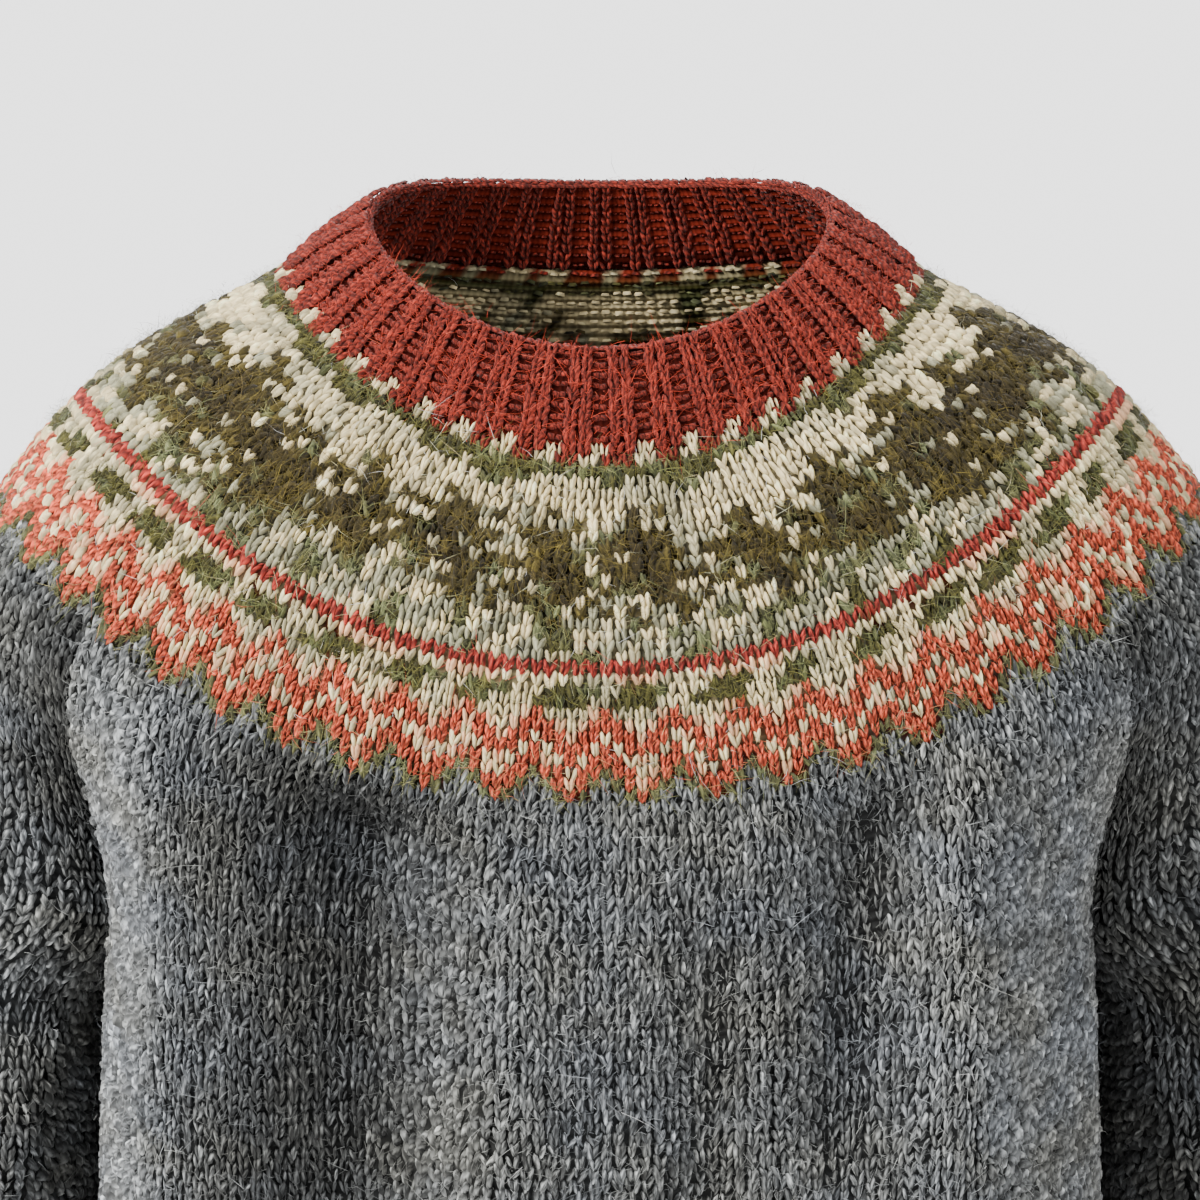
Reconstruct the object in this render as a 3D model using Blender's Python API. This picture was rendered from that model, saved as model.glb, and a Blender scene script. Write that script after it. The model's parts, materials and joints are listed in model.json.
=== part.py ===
"""Nordic yoke sweater, filled out as it is worn and left hollow: one solid for each knitted piece.

Metres, +Z up, the front faces -Y. The origin is where the wearer's neck and shoulders hold it up.
Places on the cloth are counted in stitches, because that is how such a sweater is planned:
round the yoke, round the body and round each sleeve.
"""
import math

import bpy
import numpy as np

OBJECT_NAME = "nordic_yoke_sweater"

# Cloth.
WALL = 0.003            # thickness of the wool
SEAM_GAP = 0.0003       # space between neighbouring pieces

# Stitches. These fix where the pieces meet.
YOKE_STITCHES = 276     # round the outer edge of the yoke
FRONT_HALF = 47         # yoke stitches from the front middle to the sleeve
SLEEVE_HALF = 24        # yoke stitches from the middle of a sleeve to the front or back
UNDERARM_HALF = 8       # cast on under each arm, for the body and for the sleeve
BACK_HALF = YOKE_STITCHES // 2 - FRONT_HALF - 2 * SLEEVE_HALF
BODY_STITCHES = 2 * (FRONT_HALF + BACK_HALF) + 4 * UNDERARM_HALF
SLEEVE_STITCHES = 2 * (SLEEVE_HALF + UNDERARM_HALF)

# Heights.
NECK_TOP = -0.28        # share at which the neckband starts; the yoke runs from 0 to 1
UNDERARM_Z = -0.27
FRONT_SAG = 0.053       # how much lower the same round lies at the front middle
RIB_TOP_Z = -0.572
HEM_Z = -0.635
CUFF_SHARE = 0.89       # where the cuff starts along the sleeve

# Rings from the neck outwards. Share 0 is the foot of the neckband, share 1 the edge of the yoke.
# cant 0 leans a ring in one plane, cant 1 lets front and back hang from the shoulders.
# A squareness of 1 is an oval, and less is boxier.
RING_COLUMNS = ("share", "half_width", "side_y", "side_z", "front_y", "front_z", "back_y", "back_z",
                "cant", "front_square", "back_square")
YOKE_RINGS = [
    (-0.28, 0.097, 0.000, 0.022, -0.085, -0.033, 0.066, 0.036, 0.0, 1.00, 1.00),
    (-0.14, 0.115, 0.001, 0.012, -0.095, -0.054, 0.077, 0.019, 0.1, 1.00, 1.00),
    (0.00, 0.131, 0.002, 0.000, -0.104, -0.075, 0.087, 0.000, 0.3, 1.00, 1.00),
    (0.25, 0.168, 0.004, -0.019, -0.120, -0.108, 0.108, -0.032, 0.7, 0.97, 0.98),
    (0.50, 0.201, 0.006, -0.039, -0.131, -0.141, 0.122, -0.068, 1.0, 0.93, 0.96),
    (0.75, 0.230, 0.008, -0.066, -0.137, -0.175, 0.130, -0.105, 1.0, 0.89, 0.93),
    (1.00, 0.256, 0.010, -0.099, -0.140, -0.2105, 0.134, -0.143, 1.0, 0.86, 0.90),
]

# Sections of the body below the yoke.
BODY_COLUMNS = ("drop", "half_width", "side_y", "front_y", "back_y", "front_square", "back_square")
BODY_SECTIONS = [
    (0.230, 0.201, -0.010, -0.141, 0.135, 0.76, 0.92),
    (0.290, 0.204, -0.010, -0.142, 0.133, 0.75, 0.92),
    (0.380, 0.207, -0.010, -0.140, 0.128, 0.75, 0.92),
    (0.480, 0.206, -0.009, -0.138, 0.124, 0.76, 0.92),
    (0.572, 0.201, -0.008, -0.134, 0.120, 0.78, 0.93),
    (0.605, 0.193, -0.007, -0.127, 0.112, 0.80, 0.94),
    (0.640, 0.190, -0.007, -0.124, 0.109, 0.82, 0.94),
]

# Sections of the right sleeve, from the underarm to the end of the cuff.
SLEEVE_COLUMNS = ("share", "inner_x", "inner_z", "outer_x", "outer_z", "middle_y", "half_depth")
SLEEVE_SECTIONS = [
    (0.00, 0.207, -0.270, 0.313, -0.214, 0.008, 0.058),
    (0.12, 0.2105, -0.329, 0.335, -0.272, 0.012, 0.059),
    (0.24, 0.2120, -0.392, 0.352, -0.331, 0.013, 0.057),
    (0.45, 0.245, -0.480, 0.382, -0.424, 0.009, 0.052),
    (0.67, 0.303, -0.560, 0.414, -0.517, 0.001, 0.047),
    (0.89, 0.358, -0.636, 0.442, -0.608, -0.008, 0.041),
    (0.95, 0.370, -0.662, 0.444, -0.637, -0.011, 0.036),
    (1.00, 0.378, -0.685, 0.450, -0.661, -0.013, 0.035),
]

# Largest folds: soft ridges (+) and troughs (-) from one point of the front view to another.
FOLD_COLUMNS = ("panel", "top_x", "top_z", "foot_x", "foot_z", "width", "depth")
FOLDS = [
    ("front", -0.180, -0.150, -0.190, -0.460, 0.020, 0.0130),
    ("front", -0.092, -0.190, -0.104, -0.480, 0.036, -0.0260),
    ("front", -0.036, -0.250, -0.040, -0.400, 0.022, 0.0070),
    ("front", 0.050, -0.260, 0.044, -0.450, 0.020, -0.0100),
    ("front", 0.108, -0.200, 0.094, -0.360, 0.022, -0.0140),
    ("front", 0.150, -0.200, 0.152, -0.520, 0.024, 0.0150),
    ("back", -0.110, -0.200, -0.070, -0.430, 0.024, -0.0070),
    ("back", 0.060, -0.240, 0.085, -0.520, 0.026, 0.0070),
    ("back", 0.140, -0.220, 0.120, -0.400, 0.020, -0.0060),
    ("front", 0.214, -0.300, 0.262, -0.420, 0.013, 0.0080),
    ("front", 0.240, -0.430, 0.365, -0.375, 0.016, -0.0060),
    ("back", 0.250, -0.400, 0.350, -0.330, 0.016, 0.0050),
]

# Each piece's colour and roughness.
COLOURS = {
    "neckband": (0.42, 0.075, 0.045, 0.92),
    "yoke": (0.52, 0.47, 0.36, 0.92),
    "body": (0.145, 0.155, 0.17, 0.95),
}


def smoothstep(share):
    share = np.clip(share, 0.0, 1.0)
    return share * share * (3 - 2 * share)


def unit(vectors):
    return vectors / np.linalg.norm(vectors, axis=-1, keepdims=True)


def read_table(table, share):
    """One row of a table at any share of its first column, along smooth curves through its rows."""
    rows = np.array(table, dtype=float)
    knots = rows[:, 0]
    values = rows[:, 1:]
    slopes = np.gradient(values, knots, axis=0)
    at = int(np.clip(np.searchsorted(knots, share, side="right") - 1, 0, len(knots) - 2))
    span = knots[at + 1] - knots[at]
    t = (share - knots[at]) / span
    return ((2 * t**3 - 3 * t**2 + 1) * values[at] + (t**3 - 2 * t**2 + t) * span * slopes[at]
            + (3 * t**2 - 2 * t**3) * values[at + 1] + (t**3 - t**2) * span * slopes[at + 1])


def ring_stitches(ring, count, places):
    """Points at the given stitches of a ring of count stitches, counted from the front middle.

    Stitches are evenly spaced. Places above 0 go round by the right side, and below 0 by the left.
    """
    half_width, side_y, side_z, front_y, front_z, back_y, back_z, cant, front_square, back_square = ring
    angle = np.linspace(0.0, math.pi, 1441)
    ahead = np.cos(angle)
    across = np.abs(np.sin(angle))
    square = np.where(ahead > 0, front_square, back_square)
    end_y = np.where(ahead > 0, front_y, back_y)
    lean = (back_z - front_z) / 2
    dip = (front_z + back_z) / 2 - side_z
    x = half_width * across ** square
    y = side_y + (end_y - side_y) * np.abs(ahead) ** square
    z = side_z - lean * np.sign(ahead) * np.abs(ahead) ** (1 + cant) + dip * ahead ** 2
    steps = np.sqrt(np.diff(x) ** 2 + np.diff(y) ** 2 + np.diff(z) ** 2)
    length = np.concatenate([[0.0], np.cumsum(steps)])
    places = (np.asarray(places, dtype=float) + count / 2) % count - count / 2
    wanted = np.abs(places) / (count / 2) * length[-1]
    side = np.where(places < 0, -1.0, 1.0)
    return np.stack([side * np.interp(wanted, length, x), np.interp(wanted, length, y),
                     np.interp(wanted, length, z)], axis=-1)


def yoke_skin(shares, places):
    """The outside of the neckband and yoke: a row of points for each share."""
    return np.array([ring_stitches(read_table(YOKE_RINGS, share), YOKE_STITCHES, places)
                     for share in shares])


def fold_lift(panel, points):
    """How far the folds of a panel raise its points, outwards."""
    lift = np.zeros(points.shape[:-1])
    for name, top_x, top_z, foot_x, foot_z, width, depth in FOLDS:
        if name != panel:
            continue
        top = np.array([top_x, top_z])
        run = np.array([foot_x, foot_z]) - top
        length = np.linalg.norm(run)
        offset = points[..., [0, 2]] - top
        along = offset @ run / length ** 2
        beside = (offset[..., 0] * run[1] - offset[..., 1] * run[0]) / length
        ends = smoothstep(along / 0.3 + 0.5) * smoothstep((1 - along) / 0.3 + 0.5)
        lift += depth * ends * np.exp(-(beside / width) ** 2)
    return lift


def fold(points, facing):
    """Cloth with its folds, which act where it faces the front or back."""
    points = points.copy()
    facing = np.clip(facing, -1, 1)
    points[..., 1] -= np.clip(facing, 0, 1) * fold_lift("front", points)
    points[..., 1] += np.clip(-facing, 0, 1) * fold_lift("back", points)
    return points


def underarm_round(places):
    """Height of the round that passes under the arms, lower at the front middle."""
    ahead = np.clip(np.abs(places) / FRONT_HALF, 0, 1)
    return UNDERARM_Z - FRONT_SAG * np.cos(ahead * math.pi / 2) ** 2


def body_facing(places):
    """1 where the body faces the front, -1 where it faces the back, and 0 at the underarms."""
    away = np.abs((np.asarray(places) + BODY_STITCHES / 2) % BODY_STITCHES - BODY_STITCHES / 2)
    front = 1 - smoothstep((away - FRONT_HALF + 9) / 8)
    return front - smoothstep((away - FRONT_HALF - 2 * UNDERARM_HALF - 1) / 8)


def body_at(heights, places, folded=True):
    """The body's skin at a grid of heights, one column for each place."""
    levels = np.linspace(-0.225, -0.645, 85)
    tube = []
    for level in levels:
        half_width, side_y, front_y, back_y, front_square, back_square = read_table(BODY_SECTIONS, -level)
        ring = (half_width, side_y, level, front_y, level, back_y, level, 1.0, front_square, back_square)
        tube.append(ring_stitches(ring, BODY_STITCHES, places))
    tube = np.array(tube)
    points = np.empty(heights.shape + (3,))
    for column in range(heights.shape[1]):
        for axis in (0, 1):
            points[:, column, axis] = np.interp(-heights[:, column], -levels, tube[:, column, axis])
    points[..., 2] = heights
    facing = np.broadcast_to(body_facing(places), heights.shape)
    return fold(points, facing) if folded else points


def body_skin(shares, places, folded=True):
    """The body from the underarm round (share 0) to the top of the rib (share 1)."""
    top = underarm_round(places)
    return body_at(top + (RIB_TOP_Z - top) * np.asarray(shares)[:, None], places, folded)


def hem_skin(shares, places):
    """The rib at the hem, from its top (share 0) to the edge (share 1)."""
    heights = RIB_TOP_Z + (HEM_Z - RIB_TOP_Z) * np.asarray(shares)[:, None]
    return body_at(heights + np.zeros((1, len(places))), places)


def sleeve_ring(share, places):
    """A plain ring of the right sleeve. Place 0 is its outside, and places above 0 go round the back."""
    inner_x, inner_z, outer_x, outer_z, middle_y, half_depth = read_table(SLEEVE_SECTIONS, share)
    turn = np.asarray(places) / SLEEVE_STITCHES * 2 * math.pi
    middle = np.array([(inner_x + outer_x) / 2, middle_y, (inner_z + outer_z) / 2])
    outwards = np.array([(outer_x - inner_x) / 2, 0.0, (outer_z - inner_z) / 2])
    depth = np.array([0.0, half_depth, 0.0])
    return middle + np.cos(turn)[:, None] * outwards + np.sin(turn)[:, None] * depth


def underarm_line(places):
    """Where the sleeve's underarm stitches meet the body's."""
    side = FRONT_HALF + UNDERARM_HALF
    around = side + np.sign(places) * (SLEEVE_STITCHES / 2 - np.abs(places))
    return body_skin([0.0], around)[0]


def sleeve_skin(shares, places):
    """The right sleeve from the underarm (share 0) to the end of the cuff (share 1)."""
    places = (np.asarray(places, dtype=float) + SLEEVE_STITCHES / 2) % SLEEVE_STITCHES - SLEEVE_STITCHES / 2
    edge = np.sign(places) * np.maximum(np.abs(places), SLEEVE_HALF)
    reach = 1 - smoothstep((SLEEVE_HALF - np.abs(places)) / 14)
    shift = (underarm_line(edge) - sleeve_ring(0.0, edge)) * reach[:, None]
    points = np.array([sleeve_ring(share, places) + shift * (1 - smoothstep(share / 0.10))
                       for share in shares])
    facing = -np.sin(places / SLEEVE_STITCHES * 2 * math.pi) * 1.6
    return fold(points, np.broadcast_to(facing, points.shape[:-1]))


def yoke_edge(places):
    """The outer edge of the yoke, and the way its stitches run on from there."""
    before, edge = yoke_skin([0.96, 1.0], places)
    return edge, unit(edge - before)


def border_direction(body_place, sleeve_place):
    """The way the cloth runs where body and sleeve part, at the front or back of the underarm."""
    start, end = body_skin([0.0, 0.05], [body_place])[:, 0]
    sleeve_start, sleeve_end = sleeve_skin([0.12, 0.20], [sleeve_place])[:, 0]
    return unit(unit(end - start) + unit(sleeve_end - sleeve_start))


FRONT_BORDER = border_direction(FRONT_HALF, -SLEEVE_HALF)
BACK_BORDER = border_direction(FRONT_HALF + 2 * UNDERARM_HALF, SLEEVE_HALF)


def joined(shares, start, start_way, end, end_way):
    """Cloth from the yoke's edge (share 0) to the underarm round (share 1), smooth at both ends."""
    t = np.asarray(shares)[:, None, None]
    length = np.linalg.norm(end - start, axis=-1, keepdims=True)
    return ((2 * t**3 - 3 * t**2 + 1) * start + (t**3 - 2 * t**2 + t) * length * start_way
            + (3 * t**2 - 2 * t**3) * end + (t**3 - t**2) * length * end_way)


def join_body_skin(shares, places, border, border_place, yoke_shift):
    """Front or back of the body between yoke and underarm round."""
    places = np.asarray(places, dtype=float)
    start, start_way = yoke_edge(places + yoke_shift * np.sign(places))
    end, below = body_skin([0.0, 0.03], places, folded=False)
    near = 1 - smoothstep(np.abs(np.abs(places) - border_place) / 10)
    sides = border * np.stack([np.sign(places), np.ones_like(places), np.ones_like(places)], axis=-1)
    end_way = unit(unit(below - end) * (1 - near[:, None]) + sides * near[:, None])
    grown = smoothstep(np.asarray(shares) / 0.2)[:, None]
    return fold(joined(shares, start, start_way, end, end_way), body_facing(places) * grown)


def join_front_skin(shares, places):
    """The front between yoke and underarm round. Places count from the front middle."""
    return join_body_skin(shares, places, FRONT_BORDER, FRONT_HALF, 0)


def join_back_skin(shares, places):
    """The back between yoke and underarm round. Places count from the front middle, round the right."""
    places = (np.asarray(places, dtype=float) + BODY_STITCHES / 2) % BODY_STITCHES - BODY_STITCHES / 2
    border_place = FRONT_HALF + 2 * UNDERARM_HALF
    return join_body_skin(shares, places, BACK_BORDER, border_place,
                          2 * (SLEEVE_HALF - UNDERARM_HALF))


def join_sleeve_skin(shares, places):
    """The right sleeve between yoke and underarm round. Places count from its outside."""
    places = np.asarray(places, dtype=float)
    start, start_way = yoke_edge(places + FRONT_HALF + SLEEVE_HALF)
    end, below = sleeve_skin([0.0, 0.02], places)
    near = smoothstep(1 - (SLEEVE_HALF - np.abs(places)) / 10)[:, None]
    border = np.where((places < 0)[:, None], FRONT_BORDER, BACK_BORDER)
    return joined(shares, start, start_way, end, unit(unit(below - end) * (1 - near) + border * near))


def mirrored(skin):
    """The same cloth on the other side of the body."""
    return lambda shares, places: skin(shares, places) * np.array([-1.0, 1.0, 1.0])


class Cloth:
    """A piece of cloth put together from patches of its skin; equal points are shared."""

    def __init__(self, flip=False):
        self.points = []
        self.normals = []
        self.quads = []
        self.found = {}
        self.flip = flip

    def corner(self, point, normal):
        key = tuple(np.round(point * 20000).astype(int))
        if key not in self.found:
            self.found[key] = len(self.points)
            self.points.append(point)
            self.normals.append(normal)
        return self.found[key]

    def patch(self, skin, shares, places):
        """Add the skin over these shares, from the neck down, and these places, round to the right."""
        shares = np.asarray(shares, dtype=float)
        places = np.asarray(places, dtype=float)
        points = skin(shares, places)
        step = 0.002
        down = skin(shares + step, places) - skin(shares - step, places)
        across = skin(shares, places + 0.1) - skin(shares, places - 0.1)
        normals = unit(np.cross(across, down)) * (1 if self.flip else -1)
        index = [[self.corner(p, n) for p, n in zip(*row)] for row in zip(points, normals)]
        for row in range(len(shares) - 1):
            for column in range(len(places) - 1):
                a, b = index[row][column], index[row][column + 1]
                c, d = index[row + 1][column + 1], index[row + 1][column]
                self.quads.append((d, c, b, a) if not self.flip else (a, b, c, d))

    def rim(self):
        """Edges with cloth on one side only, in the order of their face."""
        edges = {}
        for quad in self.quads:
            for a, b in zip(quad, quad[1:] + quad[:1]):
                edges[(a, b)] = quad
        return {edge: quad for edge, quad in edges.items() if edge[::-1] not in edges}

    def trimmed(self, rim):
        """The points, drawn back from the rim by half the gap at a seam."""
        inward = {}
        for (a, b), quad in rim.items():
            at = quad.index(a)
            inward.setdefault(a, set()).add(quad[at - 1])
            inward.setdefault(b, set()).add(quad[(at + 2) % 4])
        points = np.array(self.points)
        moved = points.copy()
        for corner, neighbours in inward.items():
            for other in neighbours:
                moved[corner] += unit(points[other] - points[corner]) * SEAM_GAP / 2
        return moved

    def solid(self, name, colour):
        """A closed wall: outer skin, inner skin and a rim."""
        rim = self.rim()
        outer = self.trimmed(rim)
        inner = outer - np.array(self.normals) * WALL
        count = len(outer)
        faces = list(self.quads)
        faces += [tuple(corner + count for corner in reversed(quad)) for quad in self.quads]
        faces += [(b, a, a + count, b + count) for a, b in rim]
        mesh = bpy.data.meshes.new(name)
        mesh.from_pydata([tuple(p) for p in np.vstack([outer, inner])], [], faces)
        mesh.update()
        made = bpy.data.objects.new(name, mesh)
        made.data.materials.append(wool(name, colour))
        bpy.data.collections[OBJECT_NAME].objects.link(made)
        return made


def wool(name, colour):
    """A plain woollen material."""
    red, green, blue, roughness = colour
    material = bpy.data.materials.new(name + "_wool")
    material.use_nodes = True
    shader = material.node_tree.nodes["Principled BSDF"]
    shader.inputs["Base Color"].default_value = (red, green, blue, 1.0)
    shader.inputs["Roughness"].default_value = roughness
    shader.inputs["Metallic"].default_value = 0.0
    return material


def front_places():
    """Stitches at which the front is sampled, matched by the yoke above it."""
    return np.linspace(-FRONT_HALF, FRONT_HALF, 21)


def sleeve_places():
    return np.linspace(-SLEEVE_HALF, SLEEVE_HALF, 11)


def back_places():
    """Back stitches, counted on the body from the front middle round by the right."""
    start = FRONT_HALF + 2 * UNDERARM_HALF
    return np.linspace(start, start + 2 * BACK_HALF, 19)


def yoke_places():
    """Stitches all round the yoke's edge, at the places of the pieces that hang from it."""
    right = sleeve_places() + FRONT_HALF + SLEEVE_HALF
    back = back_places() + 2 * (SLEEVE_HALF - UNDERARM_HALF)
    left = right + (back[-1] - right[0])
    return np.concatenate([front_places()[:-1], right[:-1], back[:-1], left])


def make_pieces():
    """Every knitted piece of the sweater, each as its own solid."""
    join_shares = (0, 0.06, 0.22, 0.42, 0.62, 0.82, 1)
    body_shares = (0, 0.06, 0.16, 0.27, 0.38, 0.50, 0.62, 0.74, 0.86, 0.95, 1)
    sleeve_shares = np.array([0, 0.04, 0.10, 0.18, 0.28, 0.39, 0.50, 0.61, 0.72, 0.81, CUFF_SHARE])
    under_front = np.linspace(FRONT_HALF, FRONT_HALF + UNDERARM_HALF, 4)
    under_back = np.linspace(FRONT_HALF + UNDERARM_HALF, FRONT_HALF + 2 * UNDERARM_HALF, 4)
    under_sleeve = np.linspace(SLEEVE_HALF, SLEEVE_HALF + 2 * UNDERARM_HALF, 7)

    neckband = Cloth()
    neckband.patch(yoke_skin, (NECK_TOP, -0.18, -0.08, 0), yoke_places())
    neckband.solid("neckband", COLOURS["neckband"])

    yoke = Cloth()
    yoke.patch(yoke_skin, (0, 0.20, 0.42, 0.64, 0.84, 1), yoke_places())
    yoke.solid("yoke", COLOURS["yoke"])

    front = Cloth()
    front.patch(join_front_skin, join_shares, front_places())
    front_all = np.concatenate([-under_front[:0:-1], front_places(), under_front[1:]])
    front.patch(body_skin, body_shares, front_all)
    front.solid("front", COLOURS["body"])

    back = Cloth()
    back.patch(join_back_skin, join_shares, back_places())
    back_all = np.concatenate([under_back[:-1], back_places(), BODY_STITCHES - under_back[-2::-1]])
    back.patch(body_skin, body_shares, back_all)
    back.solid("back", COLOURS["body"])

    hem = Cloth()
    hem.patch(hem_skin, (0, 0.45, 1), np.concatenate([front_all[:-1], back_all]))
    hem.solid("hem_rib", COLOURS["body"])

    for side, flip in (("right", False), ("left", True)):
        sleeve = Cloth(flip)
        sleeve.patch(mirrored(join_sleeve_skin) if flip else join_sleeve_skin, join_shares, sleeve_places())
        around = np.concatenate([sleeve_places()[:-1], under_sleeve])
        skin = mirrored(sleeve_skin) if flip else sleeve_skin
        sleeve.patch(skin, sleeve_shares, around)
        sleeve.solid("sleeve_" + side, COLOURS["body"])
        cuff = Cloth(flip)
        cuff.patch(skin, (CUFF_SHARE, 0.945, 1), around)
        cuff.solid("cuff_" + side, COLOURS["body"])


def main():
    for old in list(bpy.data.objects):
        bpy.data.objects.remove(old, do_unlink=True)
    collection = bpy.data.collections.new(OBJECT_NAME)
    bpy.context.scene.collection.children.link(collection)
    make_pieces()
    for made in collection.objects:
        print(made.name, len(made.data.polygons), "faces")


main()
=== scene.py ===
# %% [markdown]
# # A Nordic yoke sweater
# This sweater is knitted in wool: a rust ribbed neckband, a round yoke with a garland of fir twigs
# and a zigzag edge, and a grey marled body and sleeves. It is shown filled out, as if worn, and
# hollow. Knitting could be faked with a bump texture, but at this distance each stitch is a
# plump little V that catches the light, so every stitch here is real geometry, laid on a thin
# shell of cloth, and only the fibres of the yarn are left to the materials.

# %% Load the frame
import json
import math

import bpy
import numpy as np
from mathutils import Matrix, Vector
from mathutils.kdtree import KDTree

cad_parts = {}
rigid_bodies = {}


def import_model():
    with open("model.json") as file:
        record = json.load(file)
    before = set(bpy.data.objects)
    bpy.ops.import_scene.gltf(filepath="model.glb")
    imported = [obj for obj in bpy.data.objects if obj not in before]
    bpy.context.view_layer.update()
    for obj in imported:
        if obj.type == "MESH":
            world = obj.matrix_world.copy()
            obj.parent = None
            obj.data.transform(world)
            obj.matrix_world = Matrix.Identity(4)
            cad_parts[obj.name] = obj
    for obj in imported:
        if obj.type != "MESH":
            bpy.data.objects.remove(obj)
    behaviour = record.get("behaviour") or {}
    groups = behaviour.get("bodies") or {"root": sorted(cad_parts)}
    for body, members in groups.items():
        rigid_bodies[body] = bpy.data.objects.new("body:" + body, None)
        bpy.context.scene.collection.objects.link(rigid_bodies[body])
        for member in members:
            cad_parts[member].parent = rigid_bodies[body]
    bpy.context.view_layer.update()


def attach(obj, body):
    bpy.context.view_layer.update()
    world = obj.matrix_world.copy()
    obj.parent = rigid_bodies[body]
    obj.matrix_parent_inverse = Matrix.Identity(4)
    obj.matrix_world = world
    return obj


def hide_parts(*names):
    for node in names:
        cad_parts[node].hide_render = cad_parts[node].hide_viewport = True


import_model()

# %% [markdown]
# ## The plan of the knitting
# A knitter plans in stitches and rounds, so places on the cloth are counted the same way. The
# yoke is a set of rings from the neck outwards, each written as a row of a short table. Stitch
# counts say where the front, the back and the sleeves leave the yoke.

# %% Stitch counts and sizes
# Halves are counted from the middle of a piece to its side. Lengths and heights are in metres.
WALL = 0.003
YOKE_STITCHES = 276
HALF_YOKE = YOKE_STITCHES // 2
FRONT_HALF = 47
SLEEVE_HALF = 24
UNDERARM_HALF = 8
BACK_HALF = HALF_YOKE - FRONT_HALF - 2 * SLEEVE_HALF
BODY_STITCHES = 2 * (FRONT_HALF + BACK_HALF) + 4 * UNDERARM_HALF
HALF_SLEEVE = SLEEVE_HALF + UNDERARM_HALF
SLEEVE_STITCHES = 2 * HALF_SLEEVE
NECK_TOP = -0.28
UNDERARM_Z = -0.27
FRONT_SAG = 0.053
RIB_TOP_Z = -0.572
HEM_Z = -0.635
CUFF_SHARE = 0.89
print("stitches: yoke", YOKE_STITCHES, "body", BODY_STITCHES, "sleeve", SLEEVE_STITCHES)

# %% [markdown]
# ## Rings and sections
# A dressmaker drafts a body as its outline at a few heights, and these tables do the same: rings
# round the yoke, level sections down the body and slanting ones down the sleeve. Smooth curves
# run between the rows. The folds are listed too, each as a line with a width and a depth.

# %% Tables of rings and sections
# Columns: share, half_width, side_y, side_z, front_y, front_z, back_y, back_z, cant,
# front_square, back_square. Share 0 is the foot of the neckband and share 1 the yoke's edge.
YOKE_RINGS = [
    (-0.28, 0.097, 0.000, 0.022, -0.085, -0.033, 0.066, 0.036, 0.0, 1.00, 1.00),
    (-0.14, 0.115, 0.001, 0.012, -0.095, -0.054, 0.077, 0.019, 0.1, 1.00, 1.00),
    (0.00, 0.131, 0.002, 0.000, -0.104, -0.075, 0.087, 0.000, 0.3, 1.00, 1.00),
    (0.25, 0.168, 0.004, -0.019, -0.120, -0.108, 0.108, -0.032, 0.7, 0.97, 0.98),
    (0.50, 0.201, 0.006, -0.039, -0.131, -0.141, 0.122, -0.068, 1.0, 0.93, 0.96),
    (0.75, 0.230, 0.008, -0.066, -0.137, -0.175, 0.130, -0.105, 1.0, 0.89, 0.93),
    (1.00, 0.256, 0.010, -0.099, -0.140, -0.2105, 0.134, -0.143, 1.0, 0.86, 0.90),
]
# Columns: drop below the origin, half_width, side_y, front_y, back_y, front_square, back_square.
BODY_SECTIONS = [
    (0.230, 0.201, -0.010, -0.141, 0.135, 0.76, 0.92),
    (0.290, 0.204, -0.010, -0.142, 0.133, 0.75, 0.92),
    (0.380, 0.207, -0.010, -0.140, 0.128, 0.75, 0.92),
    (0.480, 0.206, -0.009, -0.138, 0.124, 0.76, 0.92),
    (0.572, 0.201, -0.008, -0.134, 0.120, 0.78, 0.93),
    (0.605, 0.193, -0.007, -0.127, 0.112, 0.80, 0.94),
    (0.640, 0.190, -0.007, -0.124, 0.109, 0.82, 0.94),
]
# Columns: share, inner_x, inner_z, outer_x, outer_z, middle_y, half_depth.
SLEEVE_SECTIONS = [
    (0.00, 0.207, -0.270, 0.313, -0.214, 0.008, 0.058),
    (0.12, 0.2105, -0.329, 0.335, -0.272, 0.012, 0.059),
    (0.24, 0.2120, -0.392, 0.352, -0.331, 0.013, 0.057),
    (0.45, 0.245, -0.480, 0.382, -0.424, 0.009, 0.052),
    (0.67, 0.303, -0.560, 0.414, -0.517, 0.001, 0.047),
    (0.89, 0.358, -0.636, 0.442, -0.608, -0.008, 0.041),
    (0.95, 0.370, -0.662, 0.444, -0.637, -0.011, 0.036),
    (1.00, 0.378, -0.685, 0.450, -0.661, -0.013, 0.035),
]
# Columns: panel, top_x, top_z, foot_x, foot_z, width, depth; a ridge is above 0, a trough below.
FOLDS = [
    ("front", -0.180, -0.150, -0.190, -0.460, 0.020, 0.0130),
    ("front", -0.092, -0.190, -0.104, -0.480, 0.036, -0.0260),
    ("front", -0.036, -0.250, -0.040, -0.400, 0.022, 0.0070),
    ("front", 0.050, -0.260, 0.044, -0.450, 0.020, -0.0100),
    ("front", 0.108, -0.200, 0.094, -0.360, 0.022, -0.0140),
    ("front", 0.150, -0.200, 0.152, -0.520, 0.024, 0.0150),
    ("back", -0.110, -0.200, -0.070, -0.430, 0.024, -0.0070),
    ("back", 0.060, -0.240, 0.085, -0.520, 0.026, 0.0070),
    ("back", 0.140, -0.220, 0.120, -0.400, 0.020, -0.0060),
    ("front", 0.214, -0.300, 0.262, -0.420, 0.013, 0.0080),
    ("front", 0.240, -0.430, 0.365, -0.375, 0.016, -0.0060),
    ("back", 0.250, -0.400, 0.350, -0.330, 0.016, 0.0050),
]
print(len(YOKE_RINGS), "yoke rings,", len(FOLDS), "folds")

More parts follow.
